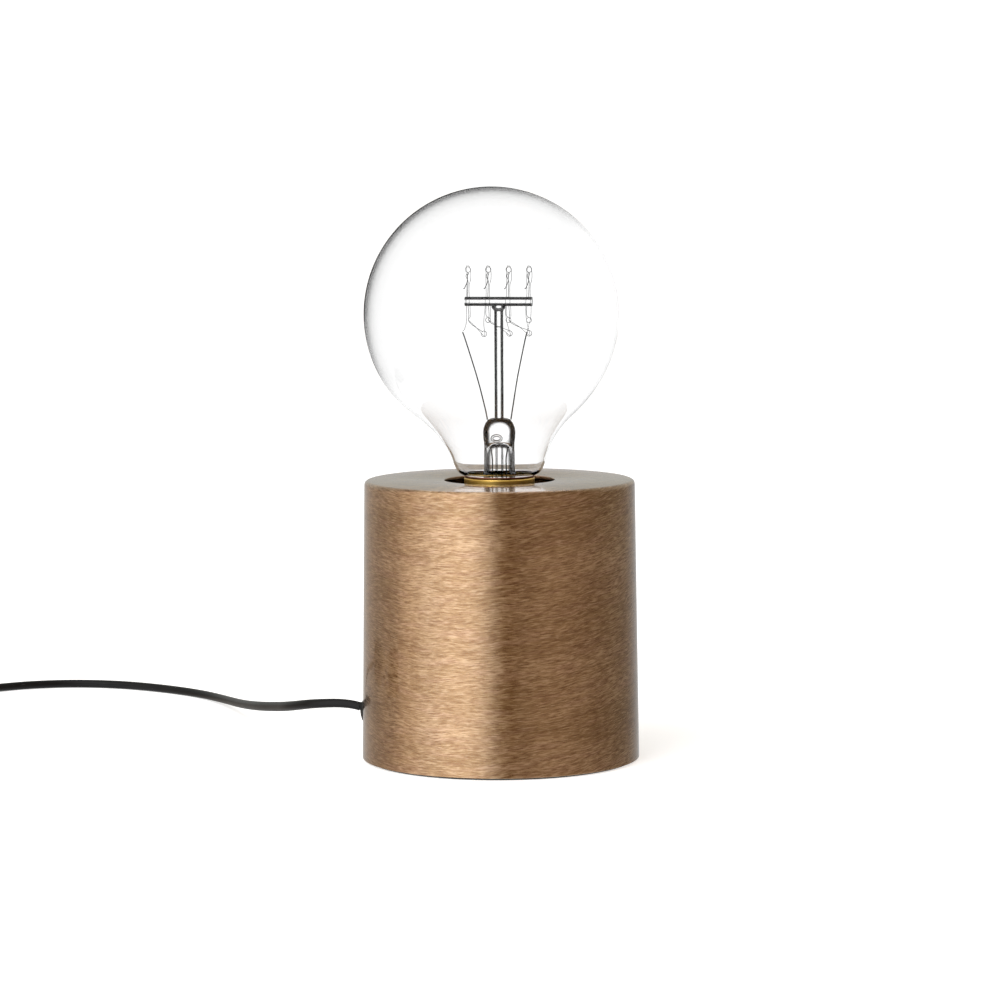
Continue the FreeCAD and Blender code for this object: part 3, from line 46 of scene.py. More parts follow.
scene = bpy.context.scene
camera = bpy.data.objects.new("camera", bpy.data.cameras.new("camera"))
camera.data.sensor_width = 36
camera.data.lens = 139.53
camera.data.shift_x = 0.000365
camera.data.clip_end = 50
tilt = Matrix.Rotation(math.radians(84.389), 4, "X") @ Matrix.Rotation(math.radians(-0.297), 4, "Z")
camera.matrix_world = Matrix.Translation((0, -1.4399, 0.23875)) @ tilt
scene.collection.objects.link(camera)
scene.camera = camera
scene.view_settings.view_transform = "Standard"


# ---- The cord. Round black two-core cord of soft PVC, smooth and a little glossy. It leaves the grommet
# on the left, sinks to the table and runs back to the switch; the rest is wound in a tied coil.

def add(tree, kind, inputs=None, **settings):
    """Adds a node of this kind. inputs maps a socket's name or number to a value or a socket."""
    node = tree.nodes.new("ShaderNode" + kind)
    for name, value in settings.items():
        setattr(node, name, value)
    for name, value in (inputs or {}).items():
        if isinstance(value, bpy.types.NodeSocket):
            tree.links.new(value, node.inputs[name])
        else:
            node.inputs[name].default_value = value
    return node


def new_material(name):
    """A material's empty tree, with the piece's own Object coordinates."""
    material = bpy.data.materials.new(name)
    material.use_nodes = True
    material.node_tree.nodes.clear()
    place = add(material.node_tree, "TexCoord").outputs["Object"]
    return material, material.node_tree, place


def finish_with(tree, shader):
    """Puts the shader on the material's output."""
    add(tree, "OutputMaterial", {"Surface": shader})


def ramp(tree, factor, stops):
    """A colour ramp's colour. stops are (place, colour) with a grey number or three numbers each."""
    node = add(tree, "ValToRGB", {"Fac": factor})
    elements = node.color_ramp.elements
    while len(elements) < len(stops):
        elements.new(1.0)
    for element, (place, colour) in zip(elements, stops):
        element.position = place
        element.color = (*colour, 1) if isinstance(colour, tuple) else (colour, colour, colour, 1)
    return node.outputs["Color"]


def grain_group():
    """Fine skin of moulded plastic and rubber: shade from 0 to 1 in soft clouds, and a pebbled normal."""
    tree = bpy.data.node_groups.new("moulded_grain", "ShaderNodeTree")
    tree.interface.new_socket("Place", in_out="INPUT", socket_type="NodeSocketVector")
    tree.interface.new_socket("Depth", in_out="INPUT", socket_type="NodeSocketFloat")
    tree.interface.new_socket("Shade", in_out="OUTPUT", socket_type="NodeSocketFloat")
    tree.interface.new_socket("Normal", in_out="OUTPUT", socket_type="NodeSocketVector")
    given = tree.nodes.new("NodeGroupInput")
    result = tree.nodes.new("NodeGroupOutput")
    clouds = add(tree, "TexNoise", {"Vector": given.outputs["Place"], "Scale": 90, "Detail": 4})
    pebbles = add(tree, "TexNoise", {"Vector": given.outputs["Place"], "Scale": 1900, "Detail": 2})
    bump = add(tree, "Bump", {
        "Strength": given.outputs["Depth"], "Distance": 0.0002, "Height": pebbles.outputs["Fac"]})
    tree.links.new(clouds.outputs["Fac"], result.inputs["Shade"])
    tree.links.new(bump.outputs["Normal"], result.inputs["Normal"])
    return tree


moulded_grain = grain_group()


def moulded(name, dark, light, rough, depth, specular=0.5):
    """Moulded or extruded plastic, from its darker to its lighter colour in soft clouds. rough is its
    mean roughness, and depth the strength of its pebbled skin."""
    material, tree, place = new_material(name)
    grain = add(tree, "Group", node_tree=moulded_grain)
    tree.links.new(place, grain.inputs["Place"])
    grain.inputs["Depth"].default_value = depth
    colour = ramp(tree, grain.outputs["Shade"], [(0.3, dark), (0.7, light)])
    roughness = add(tree, "MapRange", {
        "Value": grain.outputs["Shade"], "To Min": rough - 0.06, "To Max": rough + 0.06})
    shader = add(tree, "BsdfPrincipled", {
        "Base Color": colour,
        "Roughness": roughness.outputs["Result"],
        "Specular IOR Level": specular,
        "Normal": grain.outputs["Normal"],
    })
    finish_with(tree, shader.outputs["BSDF"])
    return material


def add_spline(curve, points, widths=1.0):
    """Adds a quadratic NURBS spline that starts and ends on its end points, which are in millimetres.
    widths are shares of the curve's thickness at the points."""
    spline = curve.splines.new("NURBS")
    spline.points.add(len(points) - 1)
    places = np.column_stack([np.array(points) / 1000, np.ones(len(points))])
    spline.points.foreach_set("co", places.ravel())
    spline.points.foreach_set("radius", np.broadcast_to(widths, len(points)).astype(float))
    spline.order_u = 3
    spline.use_endpoint_u = True
    spline.resolution_u = 12


def line(name, paths, thickness, widths=1.0):
    """Round cords or wires of one thickness in millimetres, one smooth spline for each path."""
    curve = bpy.data.curves.new(name, "CURVE")
    curve.dimensions = "3D"
    for points in paths:
        add_spline(curve, points, widths)
    curve.bevel_depth = thickness / 2000
    curve.bevel_resolution = 6
    curve.use_fill_caps = True
    piece = bpy.data.objects.new(name, curve)
    scene.collection.objects.link(piece)
    return piece


def dress(piece, body, slot, material, *replaced):
    """Lets a new piece ride on its body, gives it its material, and hides the nodes that it stands for."""
    piece.data.materials.append(material)
    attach(piece, body)
    if replaced:
        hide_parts(*replaced)


def give(material, *names):
    """Gives CAD nodes a material."""
    for name in names:
        for place in nodes[name].material_slots:
            place.material = material


cord_thickness = 3.5
on_table = cord_thickness / 2
switch_entry = 7.5  # height of the cords' holes in the switch
cord_black = moulded(
    "cord_black", (0.003, 0.003, 0.0035), (0.007, 0.007, 0.0075), 0.33, 0.25, specular=0.24)
cord_points = [
    (-52.98, 7.45, 18.6), (-57.2, 8.6, 19.8), (-70.2, 11.9, 19.2), (-80.0, 23.6, 16.4), (-86.3, 42.8, 13.3),
    (-95, 67.2, 9.8), (-104.1, 101, 5.6), (-113.6, 134.6, 2.6), (-124.5, 155.5, on_table),
    (-141, 171, on_table), (-160, 183, on_table), (-180, 187.5, on_table), (-199, 184, on_table),
    (-215, 173.5, on_table), (-225, 159.5, 3.35), (-229.5, 144.5, switch_entry), (-229.5, 130, switch_entry),
]
# In the photo the cord is thinnest at the grommet and looks thickest where it sinks.
cord_widths = [0.93, 0.95, 1.0, 1.06, 1.08, 1.04, 0.98, 0.96] + [0.96] * 9
lamp_cord = line("lamp_cord", [cord_points], cord_thickness, cord_widths)
dress(lamp_cord, "lamp", "cord_black", cord_black, "cord")

# The coil is four layers of half turns, each half an ellipse from one side of the middle to the other
# with its height eased over. A quadratic spline runs inside its points, by the share of span_kept.
coil_across, coil_back = -232, 6.5
lowest_layer, layer_rise = 2.65, 4.5
half_turn_steps = 8
span_kept = 0.981
reaches = [25.6, 23.25, 20.9, 18.55, 16.2]
stations = [
    (coil_across + reach * (1, -1)[index % 2], lowest_layer + layer_rise * (index // len(reaches)))
    for index, reach in enumerate((reaches + reaches[::-1]) * 2)
]
coil_points = [
    (-229.5, 80, switch_entry), (-229.5, 64, switch_entry), (-223.5, 49, 3.8), (-212.5, 35, lowest_layer),
    (-206.4, 20.5, lowest_layer), (-206.4, 10, lowest_layer),
]
for index, ((start, low), (stop, high)) in enumerate(zip(stations, stations[1:])):
    for step in range(half_turn_steps):
        share = (step + 0.5) / half_turn_steps
        turn = share * math.pi
        across = (start + stop) / 2 + (start - stop) / 2 * math.cos(turn) / span_kept
        along = coil_back + (-1, 1)[index % 2] * abs(start - stop) / 2 * math.sin(turn) / span_kept
        coil_points.append((across, along, low + (high - low) * share * share * (3 - 2 * share)))
coil_points += [
    (-257.6, 10, 16.15), (-257.6, 23, 16.15), (-258.6, 39.5, 12.6), (-262, 54, 6.85), (-262, 66, 6.85)]
coiled_cord = line("coiled_cord", [coil_points], cord_thickness)
dress(coiled_cord, "lamp", "cord_black", cord_black, "cord_to_coil", "cord_coil", "cord_to_plug")


# ---- The can. Spun brass with an antique finish: brown and pinkish patches, short brushed streaks
# that tilt a little, and a thin lacquer. Its foot is open, and its top has one round hole.

def rounded(corners, steps=7):
    """A closed outline through the corners (across, up, reach), evenly rounded. Each corner is a
    quadratic curve from one reach before it to one reach after it, along its two sides."""
    corners = np.array(corners, dtype=float)
    points = corners[:, None, :2]
    reach = corners[:, None, 2:]
    back = np.roll(points, 1, axis=0) - points
    ahead = np.roll(points, -1, axis=0) - points
    start = points + back / np.linalg.norm(back, axis=2, keepdims=True) * reach
    stop = points + ahead / np.linalg.norm(ahead, axis=2, keepdims=True) * reach
    share = np.linspace(0, 1, steps)[None, :, None]
    curve = (1 - share) ** 2 * start + 2 * share * (1 - share) * points + share ** 2 * stop
    return curve.reshape(-1, 2)


def lathed(outline, steps):
    """Rows of points of an outline (radius, height) turned about the lamp's axis: each is
    (radius cos t, radius sin t, height), with t in even steps round the axis."""
    turn = np.linspace(0, 2 * np.pi, steps, endpoint=False)
    outline = np.asarray(outline)
    across = np.outer(outline[:, 0], np.cos(turn))
    behind = np.outer(outline[:, 0], np.sin(turn))
    return np.stack([across, behind, np.repeat(outline[:, 1:], steps, axis=1)], axis=2)


def skin(name, parts, closed=False):
    """One smooth mesh of grids of points in millimetres, each closed round its rows. closed joins a
    grid's last row to its first, and otherwise a fan closes each end on the middle of its row."""
    points = []
    faces = []
    count = 0
    for rows in parts:
        high, wide = rows.shape[:2]
        index = np.arange(high * wide).reshape(high, wide) + count
        upper = np.roll(index, -1, axis=0)
        if not closed:
            index, upper = index[:-1], upper[:-1]
        corners = [index, np.roll(index, -1, axis=1), np.roll(upper, -1, axis=1), upper]
        faces += np.stack(corners, axis=2).reshape(-1, 4).tolist()
        points.append(rows.reshape(-1, 3))
        count += high * wide
        if not closed:
            first, last = index[0], upper[-1]
            points.append(np.array([rows[0].mean(axis=0), rows[-1].mean(axis=0)]))
            ends = [np.stack([np.roll(first, -1), first, np.full(wide, count)], axis=1),
                    np.stack([last, np.roll(last, -1), np.full(wide, count + 1)], axis=1)]
            faces += np.concatenate(ends).tolist()
            count += 2
    mesh = bpy.data.meshes.new(name)
    mesh.from_pydata(np.concatenate(points) / 1000, [], faces)
    mesh.shade_smooth()
    mesh.update()
    piece = bpy.data.objects.new(name, mesh)
    scene.collection.objects.link(piece)
    return piece


def antique_brass():
    """Brushed antique brass under lacquer: broad patches, then strokes and fine streaks that are long
    across and thin upwards, all bent a little and tilted down to the right."""
    material, tree, place = new_material("antique_brass")
    warp = add(tree, "TexNoise", {"Vector": place, "Scale": 60, "Detail": 2})
    shift = add(tree, "VectorMath", {
        0: warp.outputs["Color"], 1: (0.004, 0.004, 0.0025)}, operation="MULTIPLY")
    bent = add(tree, "VectorMath", {0: place, 1: shift.outputs[0]}, operation="ADD")
    cells = ((1 / 280, 1 / 280, 1 / 2500), (1 / 100, 1 / 100, 1 / 700), (1 / 24, 1 / 24, 1 / 70))
    fine, middling, broad = [
        add(tree, "Mapping", {"Vector": bent.outputs[0], "Rotation": (0.15, -0.075, 0.0), "Scale": cell},
            vector_type="TEXTURE").outputs[0]
        for cell in cells
    ]
    streaks = add(tree, "TexNoise", {"Vector": fine, "Scale": 1.0, "Detail": 4, "Roughness": 0.62})
    strokes = add(tree, "TexNoise", {"Vector": middling, "Scale": 1.0, "Detail": 5, "Roughness": 0.65})
    patches = add(tree, "TexNoise", {"Vector": broad, "Scale": 1.0, "Detail": 5, "Roughness": 0.6})
    pink = add(tree, "TexNoise", {
        "Vector": middling, "Scale": 0.7, "Detail": 3, "W": 3.0}, noise_dimensions="4D")
    olive = ramp(tree, patches.outputs["Fac"], [
        (0.34, (0.41, 0.246, 0.108)), (0.5, (0.59, 0.372, 0.196)), (0.64, (0.72, 0.475, 0.275))])
    rosy = add(tree, "Mix", {
        "Factor": ramp(tree, pink.outputs["Fac"], [(0.48, 0.0), (0.64, 0.5)]),
        "A": olive,
        "B": (0.63, 0.375, 0.255, 1),
    }, data_type="RGBA")
    stroked = add(tree, "Mix", {
        "Factor": ramp(tree, strokes.outputs["Fac"], [(0.34, 0.7), (0.5, 0.16), (0.62, 0.0)]),
        "A": rosy.outputs["Result"],
        "B": (0.33, 0.18, 0.08, 1),
    }, data_type="RGBA")
    scored = add(tree, "Mix", {
        "Factor": ramp(tree, streaks.outputs["Fac"], [(0.33, 0.85), (0.5, 0.24), (0.59, 0.0)]),
        "A": stroked.outputs["Result"],
        "B": (0.26, 0.125, 0.045, 1),
    }, data_type="RGBA")
    mottled = add(tree, "Mix", {
        "Factor": ramp(tree, streaks.outputs["Fac"], [(0.52, 0.0), (0.67, 0.55)]),
        "A": scored.outputs["Result"],
        "B": (0.84, 0.60, 0.38, 1),
    }, data_type="RGBA")
    roughness = add(tree, "MapRange", {
        "Value": streaks.outputs["Fac"], "From Min": 0.3, "From Max": 0.7, "To Min": 0.24, "To Max": 0.4})
    bump = add(tree, "Bump", {"Strength": 0.4, "Distance": 0.0002, "Height": streaks.outputs["Fac"]})
    shader = add(tree, "BsdfPrincipled", {
        "Base Color": mottled.outputs["Result"],
        "Metallic": 1.0,
        "Roughness": roughness.outputs["Result"],
        "Anisotropic": 0.85,
        "Anisotropic Rotation": 0.25,
        "Tangent": add(tree, "Tangent", direction_type="RADIAL", axis="Z").outputs[0],
        "Coat Weight": 0.9,
        "Coat Roughness": 0.07,
        "Normal": bump.outputs["Normal"],
    })
    finish_with(tree, shader.outputs["BSDF"])
    return material


foot, lip, shoulder, top, hole, sheet = 51.9, 0.8, 50.45, 105, 20.6, 1.2
can_outline = rounded([
    (foot, lip, 0.25), (shoulder, top, 1.8), (hole, top, 0.35),
    (hole, top - sheet, 0.35), (shoulder - sheet, top - sheet, 0.8), (foot - sheet, lip, 0.25),
])
can = skin("can", [lathed(can_outline, 360)], closed=True)
dress(can, "lamp", "shell_brass", antique_brass(), "base_shell")


# ---- The foot. A zinc plated steel plate closes the can from below. Three screws hold it to tabs that
# are welded in the can, and a black felt pad is glued under it.

def wear_group():
    """Light handling marks on small metal: shade from 0 to 1, roughness, and a faint normal."""
    tree = bpy.data.node_groups.new("metal_wear", "ShaderNodeTree")
    tree.interface.new_socket("Place", in_out="INPUT", socket_type="NodeSocketVector")
    tree.interface.new_socket("Shade", in_out="OUTPUT", socket_type="NodeSocketFloat")
    tree.interface.new_socket("Roughness", in_out="OUTPUT", socket_type="NodeSocketFloat")
    tree.interface.new_socket("Normal", in_out="OUTPUT", socket_type="NodeSocketVector")
    given = tree.nodes.new("NodeGroupInput")
    result = tree.nodes.new("NodeGroupOutput")
    place = given.outputs["Place"]
    stains = add(tree, "TexNoise", {"Vector": place, "Scale": 160, "Detail": 5, "Roughness": 0.65})
    marks = add(tree, "TexNoise", {"Vector": place, "Scale": 1400, "Detail": 3, "Distortion": 1.5})
    rough = add(tree, "MapRange", {
        "Value": stains.outputs["Fac"], "From Min": 0.3, "From Max": 0.7, "To Min": 0.24, "To Max": 0.46})
    bump = add(tree, "Bump", {"Strength": 0.12, "Distance": 0.0001, "Height": marks.outputs["Fac"]})
    tree.links.new(stains.outputs["Fac"], result.inputs["Shade"])
    tree.links.new(rough.outputs["Result"], result.inputs["Roughness"])
    tree.links.new(bump.outputs["Normal"], result.inputs["Normal"])
    return tree


metal_wear = wear_group()


def small_metal(name, dull, bright):
    """A small metal piece, from its duller to its brighter colour in soft stains."""
    material, tree, place = new_material(name)
    wear = add(tree, "Group", node_tree=metal_wear)
    tree.links.new(place, wear.inputs["Place"])
    shader = add(tree, "BsdfPrincipled", {
        "Base Color": ramp(tree, wear.outputs["Shade"], [(0.32, dull), (0.68, bright)]),
        "Metallic": 1.0,
        "Roughness": wear.outputs["Roughness"],
        "Normal": wear.outputs["Normal"],
    })
    finish_with(tree, shader.outputs["BSDF"])
    return material


def felt():
    """Black wool felt, matted and fuzzy, with paler fibres."""
    material, tree, place = new_material("felt")
    mat = add(tree, "TexNoise", {
        "Vector": place, "Scale": 900, "Detail": 6, "Roughness": 0.75, "Distortion": 1.2})
    clouds = add(tree, "TexNoise", {"Vector": place, "Scale": 120, "Detail": 3})
    base = ramp(tree, clouds.outputs["Fac"], [(0.3, (0.020, 0.022, 0.021)), (0.7, (0.045, 0.048, 0.045))])
    fibres = add(tree, "Mix", {
        "Factor": ramp(tree, mat.outputs["Fac"], [(0.45, 0.0), (0.7, 0.7)]),
        "A": base,
        "B": (0.10, 0.105, 0.10, 1),
    }, data_type="RGBA")
    bump = add(tree, "Bump", {"Strength": 0.8, "Distance": 0.0004, "Height": mat.outputs["Fac"]})
    shader = add(tree, "BsdfPrincipled", {
        "Base Color": fibres.outputs["Result"],
        "Roughness": 0.95,
        "Sheen Weight": 0.4,
        "Normal": bump.outputs["Normal"],
    })
    finish_with(tree, shader.outputs["BSDF"])
    return material


zinc_steel = small_metal("zinc_steel", (0.46, 0.46, 0.44), (0.66, 0.66, 0.64))
give(zinc_steel, "bottom_plate", "mounting_tabs", "plate_screws")
give(felt(), "felt_pad")


# ---- The bracket and nipple. A folded steel bridge stands on the plate; the threaded brass nipple
# in its top carries the lampholder.

contact_brass = small_metal("contact_brass", (0.52, 0.38, 0.17), (0.74, 0.57, 0.29))
give(zinc_steel, "holder_bracket", "bracket_screws", "bracket_nuts", "nipple_nut", "nipple_washer")
give(contact_brass, "nipple")


# ---- The lampholder. A black moulded dome, contact block and skirt, with brass contacts and a brass
# screw shell inside; the cord's two bared cores end under its screws.

holder_plastic = moulded("holder_plastic", (0.012, 0.011, 0.011), (0.024, 0.022, 0.021), 0.42, 0.35)
give(holder_plastic, "holder_cap", "holder_insulator", "holder_skirt", "cord_clamp")
give(zinc_steel, "holder_grub_screw", "terminal_screws", "clamp_screws")
give(contact_brass, "holder_terminals", "centre_contact", "shell_contact", "screw_shell")
copper_wire = small_metal("copper_wire", (0.55, 0.24, 0.13), (0.80, 0.42, 0.27))


core_gap, terminal_height = 1.15, 53.3
core_paths = [
    [(side * core_gap, 0, 42), (side * core_gap, 0, 47.5), (side * core_gap, 0, terminal_height),
     (side * 4, 0, terminal_height), (side * 6.48, 0, terminal_height)]
    for side in (1, -1)
]
dress(line("holder_cores", core_paths, 1.8), "lamp", "copper_wire", copper_wire, "holder_wires")


# ---- The bulb's cap. Drawn gold coloured brass with a rolled thread, cemented under the glass, with a
# black glass seal and a solder tip below. A copper coloured lip shows where the glass enters it.

def cap_metal():
    """Thin gold coloured brass, drawn and polished, with faint rings from the drawing tool."""
    material, tree, place = new_material("cap_brass")
    height = add(tree, "SeparateXYZ", {0: place}).outputs["Z"]
    rings = add(tree, "TexNoise", {"W": height, "Scale": 2600, "Detail": 2}, noise_dimensions="1D")
    stains = add(tree, "TexNoise", {"Vector": place, "Scale": 140, "Detail": 4})
    colour = ramp(tree, stains.outputs["Fac"], [(0.3, (0.66, 0.42, 0.09)), (0.7, (0.88, 0.60, 0.17))])
    bump = add(tree, "Bump", {"Strength": 0.1, "Distance": 0.0001, "Height": rings.outputs["Fac"]})
    shader = add(tree, "BsdfPrincipled", {
        "Base Color": colour, "Metallic": 1.0, "Roughness": 0.36, "Normal": bump.outputs["Normal"],
    })
    finish_with(tree, shader.outputs["BSDF"])
    return material


give(cap_metal(), "bulb_cap")
cap_lip = skin("cap_lip", [lathed(rounded([
    (12.5, 105.85, 0.1), (12.95, 105.95, 0.15), (13.2, 106.5, 0.3), (12.9, 107.05, 0.2),
    (12.5, 106.95, 0.1),
]), 120)], closed=True)
lip_copper = small_metal("lip_copper", (0.20, 0.06, 0.04), (0.50, 0.24, 0.17))
dress(cap_lip, "bulb", "cap_brass", lip_copper)
give(moulded("cap_glass", (0.01, 0.009, 0.012), (0.02, 0.018, 0.024), 0.12, 0.05), "cap_insulator")
give(small_metal("solder", (0.42, 0.42, 0.43), (0.68, 0.68, 0.69)), "cap_contact")


# ---- The bulb's glass. A clear blown globe, 95 mm across, drawn into a narrow neck and cemented in the
# cap. Its wall is thin and a little wavy, and it leans to the left of its neck. Its rim is grey from painted
# shade in its colour, darkest on the upper left.

def arc(centre, radius, start, stop, steps):
    """Points on a circle from one angle to another, in degrees from the outward direction."""
    turn = np.radians(np.linspace(start, stop, steps))
    return np.column_stack([centre[0] + radius * np.cos(turn), centre[1] + radius * np.sin(turn)])


def curve_through(corners, steps):
    """A curve through all corners, at even lengths. Each run is a cubic whose slopes at its ends are
    the mean slopes of the outline there."""
    runs = np.linalg.norm(np.diff(corners, axis=0), axis=1)
    length = np.concatenate([[0], np.cumsum(runs)])
    slopes = np.gradient(corners, length, axis=0)
    places = np.linspace(0, length[-1], steps)
    index = np.clip(np.searchsorted(length, places, side="right") - 1, 0, len(corners) - 2)
    run = (length[index + 1] - length[index])[:, None]
    share = (places - length[index])[:, None] / run
    start, stop = corners[index], corners[index + 1]
    ease = share * share * (3 - 2 * share)
    lift = share * (1 - share) * (1 - share) * run * slopes[index]
    drop = share * share * (1 - share) * run * slopes[index + 1]
    return start + (stop - start) * ease + lift - drop


globe_middle, globe_radius, glass_wall = 166.5, 47.5, 0.8
lean_foot, lean_height, lean_left = 108, 34, 2.7


def clear_glass():
    """Thin clear glass. Its colour is painted darker where it is seen on edge, a painted shade that is
    strongest on the upper left. It is a little uneven from blowing. The slant is about 1 on the rim's upper
    left."""
    material, tree, place = new_material("clear_glass")
    facing = add(tree, "LayerWeight", {"Blend": 0.5}).outputs["Facing"]
    # Painted shade in the glass's colour: it darkens towards the outline, and far more on the upper left.
    edge_shade = ramp(tree, facing, [(0.0, 1.0), (0.45, 0.998), (0.75, 0.985), (0.9, 0.955), (1.0, 0.8)])
    thick = ramp(tree, facing, [
        (0.0, 1.0), (0.42, 0.99), (0.6, 0.93), (0.72, 0.74), (0.8, 0.35), (0.88, 0.08), (1.0, 0.02)])
    middle = (-lean_left / 1000, 0.0, globe_middle / 1000)
    from_middle = add(tree, "VectorMath", {0: place, 1: middle}, operation="SUBTRACT")
    slant = add(tree, "VectorMath", {
        0: from_middle.outputs[0], 1: (-14.0, 0.0, 15.8)}, operation="DOT_PRODUCT")
    # Where the stronger painted shade of the upper left takes over.
    upper_left_shade = add(tree, "MapRange", {"Value": slant.outputs["Value"], "From Min": 0.1, "From Max": 0.8},
                interpolation_type="SMOOTHSTEP")
    tint = add(tree, "Mix", {"Factor": upper_left_shade.outputs["Result"], "A": edge_shade, "B": thick}, data_type="RGBA")
    waves = add(tree, "TexNoise", {"Vector": place, "Scale": 45, "Detail": 1})
    bump = add(tree, "Bump", {"Strength": 0.12, "Distance": 0.0006, "Height": waves.outputs["Fac"]})
    shader = add(tree, "BsdfPrincipled", {
        "Base Color": tint.outputs["Result"],
        "Roughness": 0.0,
        "IOR": 1.47,
        "Specular Tint": (0.4, 0.4, 0.4, 1),
        "Transmission Weight": 1.0,
        "Normal": bump.outputs["Normal"],
    })
    finish_with(tree, shader.outputs["BSDF"])
    return material


neck = 12.4
low_bell = arc((neck, 111.0), 4.2, -75, -16, 9)
waist = np.array([
    [16.95, 110.9], [17.75, 113.7], [19.95, 118.1], [22.55, 122.2], [26.0, 126.1], [31.6, 131.03]])
upper_globe = arc((0, globe_middle), globe_radius, -48.2, 89.95, 84)
in_cap = [[neck, 100.6], [neck, 103.2], [neck, 105.6]]
outside = curve_through(np.concatenate([in_cap, low_bell, waist, upper_globe[1:]]), 170)
outward = np.gradient(outside, axis=0)[:, ::-1] * (1, -1)
inside = outside - glass_wall * outward / np.linalg.norm(outward, axis=1, keepdims=True)
globe_rows = lathed(np.concatenate([inside[::-1], outside]), 256)
# The lean is eased in with height above the neck.
lean = np.clip((globe_rows[..., 2] - lean_foot) / lean_height, 0, 1)
globe_rows[..., 0] -= lean_left * lean * lean * (3 - 2 * lean)
globe = skin("globe", [globe_rows])
dress(globe, "bulb", "clear_glass", clear_glass(), "bulb_glass")


# ---- The bulb's stem. Pressed from glass tube, pinched flat over the wires; a glass rod and a
# crossbar are fused on it. Clear, with painted shade: black is painted into its colour at the edges, where
# real glass bends the light away.

def shade_edged(name, stops, pinch=1.0):
    """Clear glass that shows the white room in its middle. Its colour is painted darker towards its outline
    by stops, a painted shade.
    In the flat pinch above the tube, which faces the front, the painted shade starts pinch times sooner."""
    material, tree, place = new_material(name)
    facing = add(tree, "LayerWeight", {"Blend": 0.5}).outputs["Facing"]
    height = add(tree, "SeparateXYZ", {0: place}).outputs["Z"]
    flattened = add(tree, "MapRange", {
        "Value": height, "From Min": 0.117, "From Max": 0.1215, "To Min": 1.0, "To Max": pinch})
    sooner = add(tree, "Math", {0: facing, 1: flattened.outputs["Result"]}, operation="MULTIPLY")
    seeds = add(tree, "TexNoise", {"Vector": place, "Scale": 180, "Detail": 2})
    bump = add(tree, "Bump", {"Strength": 0.15, "Distance": 0.0004, "Height": seeds.outputs["Fac"]})
    shader = add(tree, "BsdfPrincipled", {
        "Base Color": ramp(tree, sooner.outputs[0], stops),
        "Roughness": 0.0,
        "IOR": 1.35,
        "Specular Tint": (0.05, 0.05, 0.05, 1),
        "Transmission Weight": 1.0,
        "Normal": bump.outputs["Normal"],
    })
    finish_with(tree, shader.outputs["BSDF"])
    return material


def ring_rows(centre, wide, high, thick):
    """Rows of an upright oval ring of round glass that faces the front: half wide, half high, thick."""
    turn = np.linspace(0, 2 * np.pi, 40, endpoint=False)[:, None]
    swing = np.linspace(0, 2 * np.pi, 12, endpoint=False)[None, :]
    reach = thick / 2 * np.cos(swing)
    across = centre[0] + (wide + reach) * np.cos(turn)
    height = centre[2] + (high + reach) * np.sin(turn)
    depth = centre[1] + thick / 2 * np.sin(swing) + 0 * turn
    return np.stack([across, depth, height], axis=2)


# Stops of the painted shade towards the outline: first for the solid rod, crossbar and blow hole, then for
# the hollow tube and its pinch.
solid_glass = shade_edged("solid_glass", [
    (0.0, 1.0), (0.035, 0.96), (0.075, 0.2), (0.115, 0.02), (1.0, 0.003)])
tube_glass = shade_edged("tube_glass", [
    (0.0, 1.0), (0.2, 0.985), (0.29, 0.3), (0.38, 0.02), (1.0, 0.003)], pinch=3.2)
give(tube_glass, "exhaust_tube")
give(solid_glass, "glass_crossbar")
stem_rows = lathed([
    (0.02, 119.0), (1.2, 118.9), (2.6, 118.3), (3.9, 117.0), (4.6, 115.0), (4.8, 112.5), (4.8, 108.1),
    (5.1, 106.2), (6.2, 104.4), (8.3, 102.3), (10.4, 100.8), (11.0, 100.7), (11.2, 101.1), (9.2, 102.9),
    (7.2, 104.8), (6.2, 106.6), (5.85, 108.6), (5.8, 112.0), (5.75, 115.0), (5.65, 117.0), (5.7, 119.0),
    (5.95, 121.0), (6.05, 123.2), (5.8, 125.2), (5.2, 126.6), (4.2, 127.6), (3.0, 128.0), (1.6, 127.75),
    (0.02, 127.55),
], 96)
# The pinch is pressed flat from front to back, eased in with height.
pinch_foot, pinch_height, pressed_away = 112.5, 9, 0.52
flat = np.clip((stem_rows[..., 2] - pinch_foot) / pinch_height, 0, 1)
stem_rows[..., 1] *= 1 - pressed_away * flat * flat * (3 - 2 * flat)
stem = skin("stem", [stem_rows])
dress(stem, "bulb", "stem_glass", tube_glass, "bulb_stem")
blow_hole = skin("blow_hole", [ring_rows((-1.0, -2.75, 121.0), 1.75, 1.15, 1.0)], closed=True)
dress(blow_hole, "bulb", "stem_glass", solid_glass)
rod_outline = rounded([
    (0.02, 127.7, 0.0), (1.7, 127.7, 0.1), (1.7, 168.0, 0.5), (2.75, 169.1, 0.5), (2.55, 170.1, 0.3),
    (0.02, 170.15, 0.0),
])
# The first and last corners are sharp, so all but one of each one's points are left out.
rod = skin("rod", [lathed(rod_outline[6:-6], 64)])
dress(rod, "bulb", "stem_glass", solid_glass, "glass_rod")


# ---- The bulb's wires. Nickel leads rise from the pinch, thin supports melted into the crossbar end
# in eyelets and hooks, and one tungsten wire zigzags over them.

